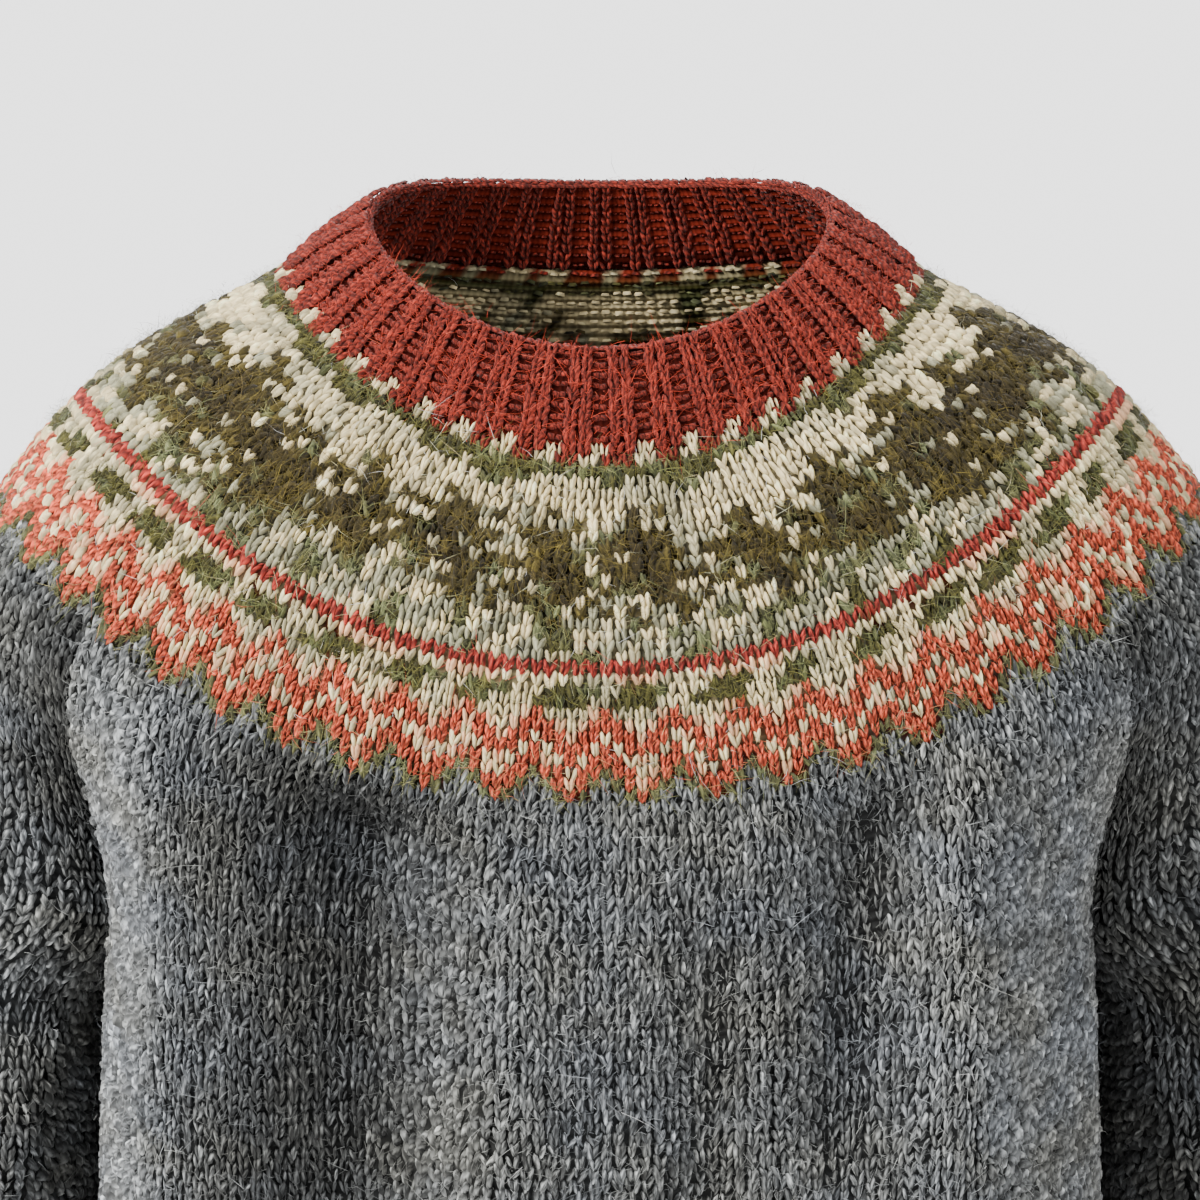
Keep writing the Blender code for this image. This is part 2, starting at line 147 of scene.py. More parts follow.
# %% [markdown]
# ## The skin of the cloth
# A function gives the outside of the cloth at any stitch and any row. Rings are superellipses:
# an oval whose squareness sets how boxy the chest is. Between the yoke and the underarm each
# column of stitches follows a curve that starts along the yoke and ends along the body or the
# sleeve, and that makes the fold where they part. One could sculpt this form or drape it by
# simulation, but a formula lets every stitch know its neighbours.

# %% Reading the tables
def smoothstep(share):
    share = np.clip(share, 0.0, 1.0)
    return share * share * (3 - 2 * share)


def unit(vectors):
    return vectors / np.linalg.norm(vectors, axis=-1, keepdims=True)


def curve(t, start, start_way, end, end_way, length):
    """A smooth curve that leaves its start one way and reaches its end another way."""
    return ((2 * t**3 - 3 * t**2 + 1) * start + (t**3 - 2 * t**2 + t) * length * start_way
            + (3 * t**2 - 2 * t**3) * end + (t**3 - t**2) * length * end_way)


def read_table(table, share):
    """One row of a table at any share of its first column, along smooth curves."""
    rows = np.array(table, dtype=float)
    knots = rows[:, 0]
    values = rows[:, 1:]
    slopes = np.gradient(values, knots, axis=0)
    at = int(np.clip(np.searchsorted(knots, share, side="right") - 1, 0, len(knots) - 2))
    span = knots[at + 1] - knots[at]
    t = (share - knots[at]) / span
    return curve(t, values[at], slopes[at], values[at + 1], slopes[at + 1], span)


def ring_stitches(ring, count, places):
    """Points at the given stitches of a ring, evenly spaced, counted from the front middle."""
    half_width, side_y, side_z, front_y, front_z, back_y, back_z, cant, *squares = ring
    front_square, back_square = squares
    angle = np.linspace(0.0, math.pi, 1441)
    ahead = np.cos(angle)
    across = np.abs(np.sin(angle))
    square = np.where(ahead > 0, front_square, back_square)
    end_y = np.where(ahead > 0, front_y, back_y)
    lean = (back_z - front_z) / 2
    dip = (front_z + back_z) / 2 - side_z
    x = half_width * across ** square
    y = side_y + (end_y - side_y) * np.abs(ahead) ** square
    z = side_z - lean * np.sign(ahead) * np.abs(ahead) ** (1 + cant) + dip * ahead ** 2
    steps = np.sqrt(np.diff(x) ** 2 + np.diff(y) ** 2 + np.diff(z) ** 2)
    length = np.concatenate([[0.0], np.cumsum(steps)])
    places = (np.asarray(places, dtype=float) + count / 2) % count - count / 2
    wanted = np.abs(places) / (count / 2) * length[-1]
    side = np.where(places < 0, -1.0, 1.0)
    return np.stack([side * np.interp(wanted, length, x), np.interp(wanted, length, y),
                     np.interp(wanted, length, z)], axis=-1)


print("the yoke's edge is", round(2 * float(read_table(YOKE_RINGS, 1.0)[0]), 3), "m wide")

# %% [markdown]
# ## The yoke and the folds
# Thick wool falls in a few soft folds. Each is a ridge or a trough along a straight line, a
# finger or two wide, that fades out at both ends. They could be sculpted on the finished mesh,
# but as a formula they carry the cloth and its stitches alike.

# %% Yoke and folds
def yoke_skin(shares, places):
    return np.array([ring_stitches(read_table(YOKE_RINGS, share), YOKE_STITCHES, places)
                     for share in shares])


def fold_lift(panel, points):
    """How far the folds of a panel raise its points."""
    lift = np.zeros(points.shape[:-1])
    for name, top_x, top_z, foot_x, foot_z, width, depth in FOLDS:
        if name != panel:
            continue
        top = np.array([top_x, top_z])
        run = np.array([foot_x, foot_z]) - top
        length = np.linalg.norm(run)
        offset = points[..., [0, 2]] - top
        along = offset @ run / length ** 2
        beside = (offset[..., 0] * run[1] - offset[..., 1] * run[0]) / length
        ends = smoothstep(along / 0.3 + 0.5) * smoothstep((1 - along) / 0.3 + 0.5)
        lift += depth * ends * np.exp(-(beside / width) ** 2)
    return lift


def fold(points, facing):
    """Cloth with its folds, which act where it faces the front or back."""
    points = points.copy()
    facing = np.clip(facing, -1, 1)
    points[..., 1] -= np.clip(facing, 0, 1) * fold_lift("front", points)
    points[..., 1] += np.clip(-facing, 0, 1) * fold_lift("back", points)
    return points


print("the deepest trough is", min(row[-1] for row in FOLDS), "m")

# %% [markdown]
# ## The body below the underarms
# Below the underarms the body is one tube down to the hem. The round where it starts lies lower
# in front, where the yoke hangs deeper, so each wale begins at its own height. The hem is the
# foot of the same tube.

# %% Body and hem
def underarm_round(places):
    """Height of the underarm round, which sags in front."""
    ahead = np.clip(np.abs(places) / FRONT_HALF, 0, 1)
    return UNDERARM_Z - FRONT_SAG * np.cos(ahead * math.pi / 2) ** 2


def body_facing(places):
    """1 where the body faces the front, -1 where it faces the back, and 0 at the underarms."""
    away = np.abs((np.asarray(places) + BODY_STITCHES / 2) % BODY_STITCHES - BODY_STITCHES / 2)
    front = 1 - smoothstep((away - FRONT_HALF + 9) / 8)
    return front - smoothstep((away - FRONT_HALF - 2 * UNDERARM_HALF - 1) / 8)


def body_at(heights, places, folded=True):
    """The body's skin at a grid of heights, one column for each place."""
    levels = np.linspace(-0.225, -0.645, 85)
    tube = []
    for level in levels:
        half_width, side_y, front_y, back_y, *squares = read_table(BODY_SECTIONS, -level)
        ring = (half_width, side_y, level, front_y, level, back_y, level, 1.0, *squares)
        tube.append(ring_stitches(ring, BODY_STITCHES, places))
    tube = np.array(tube)
    points = np.empty(heights.shape + (3,))
    for column in range(heights.shape[1]):
        for axis in (0, 1):
            points[:, column, axis] = np.interp(-heights[:, column], -levels, tube[:, column, axis])
    points[..., 2] = heights
    facing = np.broadcast_to(body_facing(places), heights.shape)
    return fold(points, facing) if folded else points


def body_skin(shares, places, folded=True):
    top = underarm_round(places)
    return body_at(top + (RIB_TOP_Z - top) * np.asarray(shares)[:, None], places, folded)


def hem_skin(shares, places):
    heights = RIB_TOP_Z + (HEM_Z - RIB_TOP_Z) * np.asarray(shares)[:, None]
    return body_at(heights + np.zeros((1, len(places))), places)


print("underarm round at", UNDERARM_Z, "m, in front at", round(float(underarm_round(0)), 3), "m")

# %% [markdown]
# ## The sleeve
# A worn sleeve is an oval tube that hangs out from the shoulder and narrows to the cuff. Its top
# round has to meet the body at the underarm, so the ovals near it are drawn over to the body's
# edge there.

# %% Right sleeve; the left one is its mirror image
def sleeve_ring(share, places):
    """One oval of the sleeve; place 0 is on the outer line, and the underarm is half way round."""
    inner_x, inner_z, outer_x, outer_z, middle_y, half_depth = read_table(SLEEVE_SECTIONS, share)
    turn = np.asarray(places) / SLEEVE_STITCHES * 2 * math.pi
    middle = np.array([(inner_x + outer_x) / 2, middle_y, (inner_z + outer_z) / 2])
    outwards = np.array([(outer_x - inner_x) / 2, 0.0, (outer_z - inner_z) / 2])
    depth = np.array([0.0, half_depth, 0.0])
    return middle + np.cos(turn)[:, None] * outwards + np.sin(turn)[:, None] * depth


def underarm_line(places):
    """The edge of the body where the sleeve's underarm stitches join it."""
    side = FRONT_HALF + UNDERARM_HALF
    around = side + np.sign(places) * (HALF_SLEEVE - np.abs(places))
    return body_skin([0.0], around)[0]


def sleeve_skin(shares, places):
    places = (np.asarray(places, dtype=float) + HALF_SLEEVE) % SLEEVE_STITCHES - HALF_SLEEVE
    edge = np.sign(places) * np.maximum(np.abs(places), SLEEVE_HALF)
    reach = 1 - smoothstep((SLEEVE_HALF - np.abs(places)) / 14)
    shift = (underarm_line(edge) - sleeve_ring(0.0, edge)) * reach[:, None]
    points = np.array([sleeve_ring(share, places) + shift * (1 - smoothstep(share / 0.10))
                       for share in shares])
    facing = -np.sin(places / SLEEVE_STITCHES * 2 * math.pi) * 1.6
    return fold(points, np.broadcast_to(facing, points.shape[:-1]))


def cuff_skin(shares, places):
    return np.array([sleeve_ring(share, places) for share in shares])


print("the cuff ends at", np.round(sleeve_ring(1.0, [0.0])[0], 3))

# %% [markdown]
# ## Between the yoke and the underarm
# Every wale leaves the yoke in the direction the yoke has there, and reaches the underarm round
# in the direction of the body or the sleeve. Where the front and a sleeve part, both arrive the
# same way, so they stay one cloth down to the underarm.

# %% From the yoke's edge to the underarm round
def yoke_edge(places):
    before, edge = yoke_skin([0.96, 1.0], places)
    return edge, unit(edge - before)


def border_direction(body_place, sleeve_place):
    """The way the cloth runs where the body and a sleeve part: between the two."""
    start, end = body_skin([0.0, 0.05], [body_place])[:, 0]
    sleeve_start, sleeve_end = sleeve_skin([0.12, 0.20], [sleeve_place])[:, 0]
    return unit(unit(end - start) + unit(sleeve_end - sleeve_start))


BACK_BORDER_PLACE = FRONT_HALF + 2 * UNDERARM_HALF
FRONT_BORDER = border_direction(FRONT_HALF, -SLEEVE_HALF)
BACK_BORDER = border_direction(BACK_BORDER_PLACE, SLEEVE_HALF)


def joined(shares, start, start_way, end, end_way):
    length = np.linalg.norm(end - start, axis=-1, keepdims=True)
    return curve(np.asarray(shares)[:, None, None], start, start_way, end, end_way, length)


def join_body_skin(shares, places, border, border_place, yoke_shift):
    places = np.asarray(places, dtype=float)
    start, start_way = yoke_edge(places + yoke_shift * np.sign(places))
    end, below = body_skin([0.0, 0.03], places, folded=False)
    near = 1 - smoothstep(np.abs(np.abs(places) - border_place) / 10)
    sides = border * np.stack([np.sign(places), np.ones_like(places), np.ones_like(places)], axis=-1)
    end_way = unit(unit(below - end) * (1 - near[:, None]) + sides * near[:, None])
    grown = smoothstep(np.asarray(shares) / 0.2)[:, None]
    return fold(joined(shares, start, start_way, end, end_way), body_facing(places) * grown)


def join_front_skin(shares, places):
    return join_body_skin(shares, places, FRONT_BORDER, FRONT_HALF, 0)


def join_back_skin(shares, places):
    half = BODY_STITCHES / 2
    places = (np.asarray(places, dtype=float) + half) % BODY_STITCHES - half
    yoke_shift = 2 * (SLEEVE_HALF - UNDERARM_HALF)
    return join_body_skin(shares, places, BACK_BORDER, BACK_BORDER_PLACE, yoke_shift)


def join_sleeve_skin(shares, places):
    places = np.asarray(places, dtype=float)
    start, start_way = yoke_edge(places + FRONT_HALF + SLEEVE_HALF)
    end, below = sleeve_skin([0.0, 0.02], places)
    near = smoothstep(1 - (SLEEVE_HALF - np.abs(places)) / 10)[:, None]
    border = np.where((places < 0)[:, None], FRONT_BORDER, BACK_BORDER)
    end_way = unit(unit(below - end) * (1 - near) + border * near)
    return joined(shares, start, start_way, end, end_way)


print("front and sleeve part towards", np.round(FRONT_BORDER, 2))

# %% [markdown]
# ## Which way is out
# Stitches and cloth both have to know which way they face. That is found by a small step along
# the wale and a small step across it: what is square to both points out of the cloth.

# %% A grid of the skin with its outward directions
def mirrored(skin):
    return lambda shares, places: skin(shares, places) * np.array([-1.0, 1.0, 1.0])


def cloth_grid(skin, shares, places, mirror=False):
    """Points and normals of the skin. A mirrored piece has its places turned round, which keeps
    its outside out."""
    skin = mirrored(skin) if mirror else skin
    shares = np.asarray(shares, dtype=float)
    places = np.asarray(places, dtype=float)
    if mirror:
        places = places[::-1]
    sign = 1 if mirror else -1
    points = skin(shares, places)
    down = skin(shares + 0.002, places) - skin(shares - 0.002, places)
    across = skin(shares, places + 0.1) - skin(shares, places - 0.1)
    return points, sign * unit(np.cross(across, down))


def area_of(points):
    """Area of a grid, from its cells' diagonals."""
    first = points[1:, 1:] - points[:-1, :-1]
    second = points[1:, :-1] - points[:-1, 1:]
    return float(np.linalg.norm(np.cross(first, second), axis=-1).sum() / 2)


yoke_points, yoke_normals = cloth_grid(yoke_skin, np.linspace(0, 1, 34),
                                       np.arange(-HALF_YOKE, HALF_YOKE + 1))
print("yoke: area", round(area_of(yoke_points), 4), "m2; edge faces",
      np.round(yoke_normals[-1, HALF_YOKE], 2))

# %% [markdown]
# ## Wales, the columns of stitches
# A knitted fabric grows in columns, called wales, and every stitch in a wale has nearly the same
# height wherever the cloth goes. So the skin is measured along each wale and cut into equal rows.
# A grid taken straight from the formula would stretch the stitches at the sides, which wool
# doesn't do.

# %% A cloth measured in rows
def on_grid(grid, row, column):
    """A point between the points of a grid, and one step across and one row down from it."""
    row = np.clip(row, 0, grid.shape[0] - 1.001)
    column = np.clip(column, 0, grid.shape[1] - 1.001)
    r, c = row.astype(int), column.astype(int)
    s, t = (row - r)[:, None], (column - c)[:, None]
    a, b, d, e = grid[r, c], grid[r, c + 1], grid[r + 1, c], grid[r + 1, c + 1]
    point = (a * (1 - t) + b * t) * (1 - s) + (d * (1 - t) + e * t) * s
    across = (b - a) * (1 - s) + (e - d) * s
    down = (d - a) * (1 - t) + (e - b) * t
    return point, across, down


class Fabric:
    """Cloth as a grid with equal rows along each wale. Row and place give a point and its frame."""

    def __init__(self, points, first_place, row_height, start=None):
        steps = np.linalg.norm(np.diff(points, axis=0), axis=2)
        run = np.concatenate([np.zeros((1, points.shape[1])), np.cumsum(steps, axis=0)])
        if start is not None:
            run = run + start
        self.rows = run[-1] / row_height
        self.first_row = run[0] / row_height
        count = int(math.ceil(run[-1].max() / row_height)) + 2
        grid = np.empty((count, points.shape[1], 3))
        levels = np.arange(count) * row_height
        for column in range(points.shape[1]):
            for axis in range(3):
                inside = np.interp(levels, run[:, column], points[:, column, axis])
                last = points[-1, column, axis] - points[-2, column, axis]
                last = last / max(run[-1, column] - run[-2, column], 1e-6)
                over = np.clip(levels - run[-1, column], 0, None) * last
                grid[:, column, axis] = inside + over
        self.grid = grid
        self.first_place = first_place
        self.row_height = row_height
        down = np.gradient(grid, axis=0)
        across = np.gradient(grid, axis=1)
        for column in range(points.shape[1]):
            begin = int(math.ceil(self.first_row[column]))
            down[:begin, column] = down[begin, column]
        self.normals = -unit(np.cross(across, down))

    def knitted(self, row, places):
        """Those of the places where a row has a whole stitch: the wale has begun and not ended."""
        column = places - self.first_place
        wales = np.arange(len(self.rows))
        length = np.interp(column, wales, self.rows)
        first = np.interp(column, wales, self.first_row)
        return places[(row + 0.6 < length) & (row + 0.4 >= first)]

    def frame(self, row, place):
        """Point, outward direction, one place across and one row down, at any row and place."""
        column = place - self.first_place
        point, across, down = on_grid(self.grid, row, column)
        normal = on_grid(self.normals, row, column)[0]
        return point, unit(normal), across, down


print("a wale is cut into equal rows by class", Fabric.__name__)

# %% [markdown]
# ## One stitch
# A knit stitch shows as two plump legs that meet in a point and tuck into the stitch below. One
# leg is a short spindle of yarn: pointed where it dives under its neighbour, round in between.
# A whole loop of yarn could be swept along its true path, but most of it is hidden inside the
# cloth, so only the two legs in sight are made. On a purl stitch what shows is a bar across.

# %% Spindles of yarn
# Columns: across, down, half_width and crown, all as shares of a stitch.
KNIT_LEG = [(0.02, 0.72, 0.0, -0.16), (0.12, 0.34, 0.185, 0.25), (0.22, -0.16, 0.225, 0.32),
            (0.30, -0.52, 0.165, 0.18), (0.35, -0.74, 0.0, -0.14)]
PLAIN_LEG = [(0.02, 0.76, 0.0, -0.16), (0.14, 0.26, 0.19, 0.27), (0.26, -0.32, 0.20, 0.27),
             (0.35, -0.76, 0.0, -0.14)]
BACK_LEG = [(0.02, 0.80, 0.0, -0.14), (0.20, 0.0, 0.24, 0.32), (0.35, -0.80, 0.0, -0.14)]
RIB_LEG = [(0.03, 0.80, 0.0, -0.16), (0.13, 0.36, 0.17, 0.22), (0.21, -0.16, 0.20, 0.26),
           (0.28, -0.54, 0.15, 0.14), (0.32, -0.80, 0.0, -0.14)]
RIB_BAR = [(-0.60, 0.15, 0.0, -0.10), (-0.25, -0.05, 0.46, 0.40), (0.25, -0.05, 0.46, 0.40),
           (0.60, 0.15, 0.0, -0.10)]
PURL_BAR = [(-0.58, 0.18, 0.0, -0.14), (-0.24, -0.06, 0.30, 0.26), (0.24, -0.06, 0.30, 0.26),
            (0.58, 0.18, 0.0, -0.14)]
EDGE_DEPTH = -0.14  # how deep the sides of a leg sit
rng = np.random.default_rng(41)


def spindle_faces(stations):
    """Triangles of a spindle: a fan at each tip and two strips between its stations."""
    faces = [(0, 1, 2), (0, 2, 3)]
    for station in range(stations - 1):
        i = 1 + 3 * station
        for k in (0, 1):
            faces += [(i + k, i + k + 3, i + k + 4), (i + k, i + k + 4, i + k + 1)]
    i = 1 + 3 * (stations - 1)
    return np.array(faces + [(i, i + 3, i + 1), (i + 1, i + 3, i + 2)])


def spindles(shape, side, frames, jitter, plump):
    """Vertices, triangles and marks of one spindle of yarn per stitch. side mirrors it."""
    point, normal, across, down = frames
    count = len(point)
    width = np.linalg.norm(across, axis=1, keepdims=True)
    height = np.linalg.norm(down, axis=1, keepdims=True)
    u, v = across / width, down / height
    jitter = np.broadcast_to(jitter, count)[:, None]
    size = np.clip(1 + jitter * rng.normal(0, 0.08, (count, 1)), 0.7, 1.4)
    turn = jitter * rng.normal(0, 0.10, (count, 1))
    slide = jitter * rng.normal(0, 0.05, (count, 2))
    rise = jitter * rng.normal(0, 0.05, (count, 1))
    spine = [(side * a * width + slide[:, :1] * width, b * height * size + slide[:, 1:] * height)
             for a, b, _, _ in shape]
    spine = [(x + turn * y, y - turn * x) for x, y in spine]
    vertices, along, edge = [], [], []
    last = len(shape) - 1
    for step, (_, _, half, crown) in enumerate(shape):
        x, y = spine[step]
        crown_height = (crown + (rise if 0 < step < last else 0)) * width * plump
        centre = point + u * x + v * y + normal * crown_height
        if half == 0:
            vertices.append(centre)
            along.append(step / last)
            edge.append(0.5)
            continue
        run_x = spine[step + 1][0] - spine[step - 1][0]
        run_y = spine[step + 1][1] - spine[step - 1][1]
        run = np.sqrt(run_x ** 2 + run_y ** 2)
        sideways = (u * run_y - v * run_x) / run * half * width * size
        foot = point + u * x + v * y + normal * EDGE_DEPTH * width
        vertices += [foot - sideways, centre, foot + sideways]
        along += [step / last] * 3
        edge += [0.0, 0.5, 1.0]
    vertices = np.stack(vertices, axis=1)
    faces = spindle_faces(last - 1)
    first = vertices[:, faces[0]]
    facing = np.cross(first[:, 1] - first[:, 0], first[:, 2] - first[:, 0])
    if (facing * normal).sum() < 0:
        faces = faces[:, ::-1]
    return vertices, faces, np.array(along), np.array(edge)


print("a full leg has", len(spindle_faces(len(KNIT_LEG) - 2)), "triangles")

# %% [markdown]
# ## Collecting spindles into a piece
# A piece holds thousands of spindles, so they are gathered as arrays and made into one mesh at
# the end. Every vertex carries the dye of its yarn. The sides and tips of each leg are painted
# darker, as painted shade where wool lies in its neighbours' shade, and marled yarn varies from
# leg to leg.

# %% Gathering yarn
CREAM, TWIST, MOHAIR, GREY = 0, 1, 2, 3
MARL = np.array([0.17, 0.18, 0.34, 0.35])  # how much a yarn varies in tone
UNEVENNESS = np.array([1.4, 1.1, 2.6, 2.0])  # how much its stitches vary in form
SIDE_SHADE = 0.60
TIP_SHADE = 0.45
YARN_LENGTHS = 60  # stitches of yarn before the fibres' pattern repeats


class Knitting:
    """The strands of one piece: spindles or fibres, with their dyes, painted shade included, and
    their places on the yarn.
    """

    def __init__(self, name):
        self.name = name
        self.vertices, self.faces, self.dyes, self.yarn, self.kinds = [], [], [], [], []
        self.strand_of, self.laid_flat = [], []
        self.count = 0
        self.strands = 0

    def add(self, vertices, faces, dyes, yarn, kinds, flat):
        """vertices (n, k, 3); faces (f, 3) for one; dyes (n, k, 4); yarn (n, k, 2); kinds (n);
        flat (k, 2) is one strand laid out flat in a unit square."""
        n, k = vertices.shape[:2]
        offsets = self.count + np.arange(n)[:, None, None] * k
        self.vertices.append(vertices.reshape(-1, 3))
        self.faces.append((faces[None] + offsets).reshape(-1, 3))
        self.dyes.append(dyes.reshape(-1, 4))
        self.yarn.append(yarn.reshape(-1, 2))
        self.kinds.append(np.repeat(kinds, len(faces)))
        self.strand_of.append(np.repeat(self.strands + np.arange(n), k))
        self.laid_flat.append(np.tile(flat, (n, 1)))
        self.count += n * k
        self.strands += n

    def stitches(self, frames, dye, kind, shape, sides=(-1, 1), plump=1.0):
        """One stitch on each frame; a knit stitch has a leg at either side. The sides and tips of each
        leg get painted shade, and dye may already hold painted shade, as the grey does.
        """
        marl = MARL[kind]
        plump = plump * np.where(kind == MOHAIR, 0.75, np.where(kind == GREY, 0.9, 1.0))[:, None]
        for side in sides:
            vertices, faces, along, edge = spindles(shape, side, frames, UNEVENNESS[kind], plump)
            n, k = vertices.shape[:2]
            tip = (along == 0) | (along == 1)
            # Painted shade: the sides and tips of each leg are darker, where wool lies in its
            # neighbours' shade.
            shade = np.where(edge == 0.5, 1.0, SIDE_SHADE) * np.where(tip, TIP_SHADE, 1.0)
            leg = np.exp(rng.normal(0, 1, (n, 1)) * marl[:, None] * 0.9)
            spot = np.exp(rng.normal(0, 1, (n, k)) * marl[:, None])
            dyes = np.ones((n, k, 4))
            dyes[..., :3] = dye[:, None, :] * (shade[None] * leg * spot)[..., None]
            yarn = np.stack([np.broadcast_to(along, (n, k)) + rng.integers(0, YARN_LENGTHS, (n, 1)),
                             np.broadcast_to(edge, (n, k)) + rng.integers(0, YARN_LENGTHS, (n, 1))],
                            axis=-1)
            flat = np.stack([along, edge], axis=1)
            self.add(vertices, faces, np.clip(dyes, 0, 1), yarn, kind, flat)

    def mesh(self, materials, slot):
        """Makes the mesh object, with its dye and painted shade, its yarn map and an even map for
        baking.
        """
        vertices = np.concatenate(self.vertices)
        faces = np.concatenate(self.faces)
        dyes = np.concatenate(self.dyes)
        yarn = np.concatenate(self.yarn)
        mesh = bpy.data.meshes.new(self.name)
        mesh.vertices.add(len(vertices))
        mesh.vertices.foreach_set("co", vertices.ravel())
        mesh.loops.add(faces.size)
        mesh.loops.foreach_set("vertex_index", faces.ravel())
        mesh.polygons.add(len(faces))
        mesh.polygons.foreach_set("loop_start", np.arange(len(faces)) * 3)
        mesh.polygons.foreach_set("loop_total", np.full(len(faces), 3))
        mesh.update()
        mesh.polygons.foreach_set("use_smooth", np.ones(len(faces), dtype=bool))
        # The dye attribute holds each yarn's colour with its painted shade.
        colour = mesh.attributes.new("dye", "FLOAT_COLOR", "POINT")
        colour.data.foreach_set("color", dyes.ravel())
        uv = mesh.uv_layers.new(name="yarn")
        uv.data.foreach_set("uv", yarn[faces.ravel()].ravel())
        in_row = math.ceil(math.sqrt(self.strands))
        strand = np.concatenate(self.strand_of)
        corner = np.stack([strand % in_row, strand // in_row], axis=1)
        spread = (corner + 0.1 + 0.8 * np.concatenate(self.laid_flat)) / in_row
        bake = mesh.uv_layers.new(name="OFBake")
        bake.data.foreach_set("uv", spread[faces.ravel()].ravel())
        mesh.polygons.foreach_set("material_index", np.concatenate(self.kinds))
        for material in materials:
            mesh.materials.append(material)
        thing = bpy.data.objects.new(self.name, mesh)
        bpy.context.scene.collection.objects.link(thing)
        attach(thing, "root")
        print(self.name, "triangles", len(faces))
        return thing


print("tone varies by", dict(zip(("cream", "twist", "mohair", "grey"), MARL.tolist())))

# %% [markdown]
# ## Wool
# Four kinds of yarn are used: smooth cream wool, a twisted rust one, hairy olive mohair and grey
# marl. Each takes its colour from the dye on the mesh, which holds painted shade too. Its plies
# are bands that run slantwise along the yarn, and its fibres are fine noise stretched along it.
# Both raise the surface a little and vary its colour: fibres vary in tone, marl is lighter and
# darker along the plies, and the grooves between plies are painted darker as painted shade, with
# painted light on their crests. An image of wool could be wrapped on, but it would have to be
# found first.

# %% Yarn materials
def yarn_material(name, plies, ply_depth, fibre, marl, sheen, rough):
    material = bpy.data.materials.new(name)
    material.use_nodes = True
    nodes, links = material.node_tree.nodes, material.node_tree.links
    nodes.clear()
    out = nodes.new("ShaderNodeOutputMaterial")
    wool = nodes.new("ShaderNodeBsdfPrincipled")
    wool.inputs["Roughness"].default_value = rough
    wool.inputs["Specular IOR Level"].default_value = 0.18
    wool.inputs["Sheen Weight"].default_value = sheen
    wool.inputs["Sheen Roughness"].default_value = 0.5
    # The dye attribute is the yarn's colour with its painted shade.
    dye = nodes.new("ShaderNodeAttribute")
    dye.attribute_name = "dye"
    place = nodes.new("ShaderNodeUVMap")
    place.uv_map = "yarn"
    stretch = nodes.new("ShaderNodeVectorMath")
    stretch.operation = "MULTIPLY"
    stretch.inputs[1].default_value = (1.3, 2.6, 1.0)
    links.new(place.outputs["UV"], stretch.inputs[0])
    noise = nodes.new("ShaderNodeTexNoise")
    noise.inputs["Scale"].default_value = 1.6
    noise.inputs["Detail"].default_value = 3.0
    links.new(stretch.outputs[0], noise.inputs["Vector"])
    slant = nodes.new("ShaderNodeVectorMath")
    slant.operation = "DOT_PRODUCT"
    slant.inputs[1].default_value = (plies, 1.1, 0.0)
    links.new(place.outputs["UV"], slant.inputs[0])
    waver = nodes.new("ShaderNodeMath")
    waver.operation = "MULTIPLY_ADD"
    waver.inputs[1].default_value = 1.2
    links.new(noise.outputs["Fac"], waver.inputs[0])
    links.new(slant.outputs["Value"], waver.inputs[2])
    turn = nodes.new("ShaderNodeMath")
    turn.operation = "MULTIPLY"
    turn.inputs[1].default_value = 2 * math.pi
    links.new(waver.outputs[0], turn.inputs[0])
    ply = nodes.new("ShaderNodeMath")
    ply.operation = "SINE"
    links.new(turn.outputs[0], ply.inputs[0])
    spread = nodes.new("ShaderNodeMapRange")
    spread.inputs["From Min"].default_value = 0.3
    spread.inputs["From Max"].default_value = 0.7
    spread.inputs["To Min"].default_value = 1 - fibre
    spread.inputs["To Max"].default_value = 1 + fibre
    links.new(noise.outputs["Fac"], spread.inputs["Value"])
    # Painted shade in the grooves between plies and painted light on their crests, with the marl's
    # real light and dark plies.
    ply_shade_and_marl = nodes.new("ShaderNodeMath")
    ply_shade_and_marl.operation = "MULTIPLY_ADD"
    ply_shade_and_marl.inputs[1].default_value = ply_depth * 0.5 + marl
    ply_shade_and_marl.inputs[2].default_value = 1.0 - ply_depth * 0.35
    links.new(ply.outputs[0], ply_shade_and_marl.inputs[0])
    both = nodes.new("ShaderNodeMath")
    both.operation = "MULTIPLY"
    links.new(spread.outputs["Result"], both.inputs[0])
    links.new(ply_shade_and_marl.outputs[0], both.inputs[1])
    shaded = nodes.new("ShaderNodeVectorMath")
    shaded.operation = "SCALE"
    links.new(dye.outputs["Color"], shaded.inputs[0])
    links.new(both.outputs[0], shaded.inputs["Scale"])
    links.new(shaded.outputs[0], wool.inputs["Base Color"])
    bump = nodes.new("ShaderNodeBump")
    bump.inputs["Strength"].default_value = 0.5
    bump.inputs["Distance"].default_value = 0.0006
    links.new(both.outputs[0], bump.inputs["Height"])
    links.new(bump.outputs[0], wool.inputs["Normal"])
    links.new(wool.outputs[0], out.inputs["Surface"])
    return material


WOOLS = [
    yarn_material("cream_wool", plies=1.6, ply_depth=0.22, fibre=0.22, marl=0.0, sheen=0.1,
                  rough=0.85),
    yarn_material("twisted_rust_wool", plies=2.4, ply_depth=0.6, fibre=0.4, marl=0.15, sheen=0.1,
                  rough=0.8),
    yarn_material("olive_mohair", plies=1.2, ply_depth=0.2, fibre=0.55, marl=0.12, sheen=0.2,
                  rough=0.9),
    yarn_material("grey_marl_wool", plies=1.4, ply_depth=0.2, fibre=0.45, marl=0.42, sheen=0.1,
                  rough=0.85),
]
print("yarns:", ", ".join(material.name for material in WOOLS))


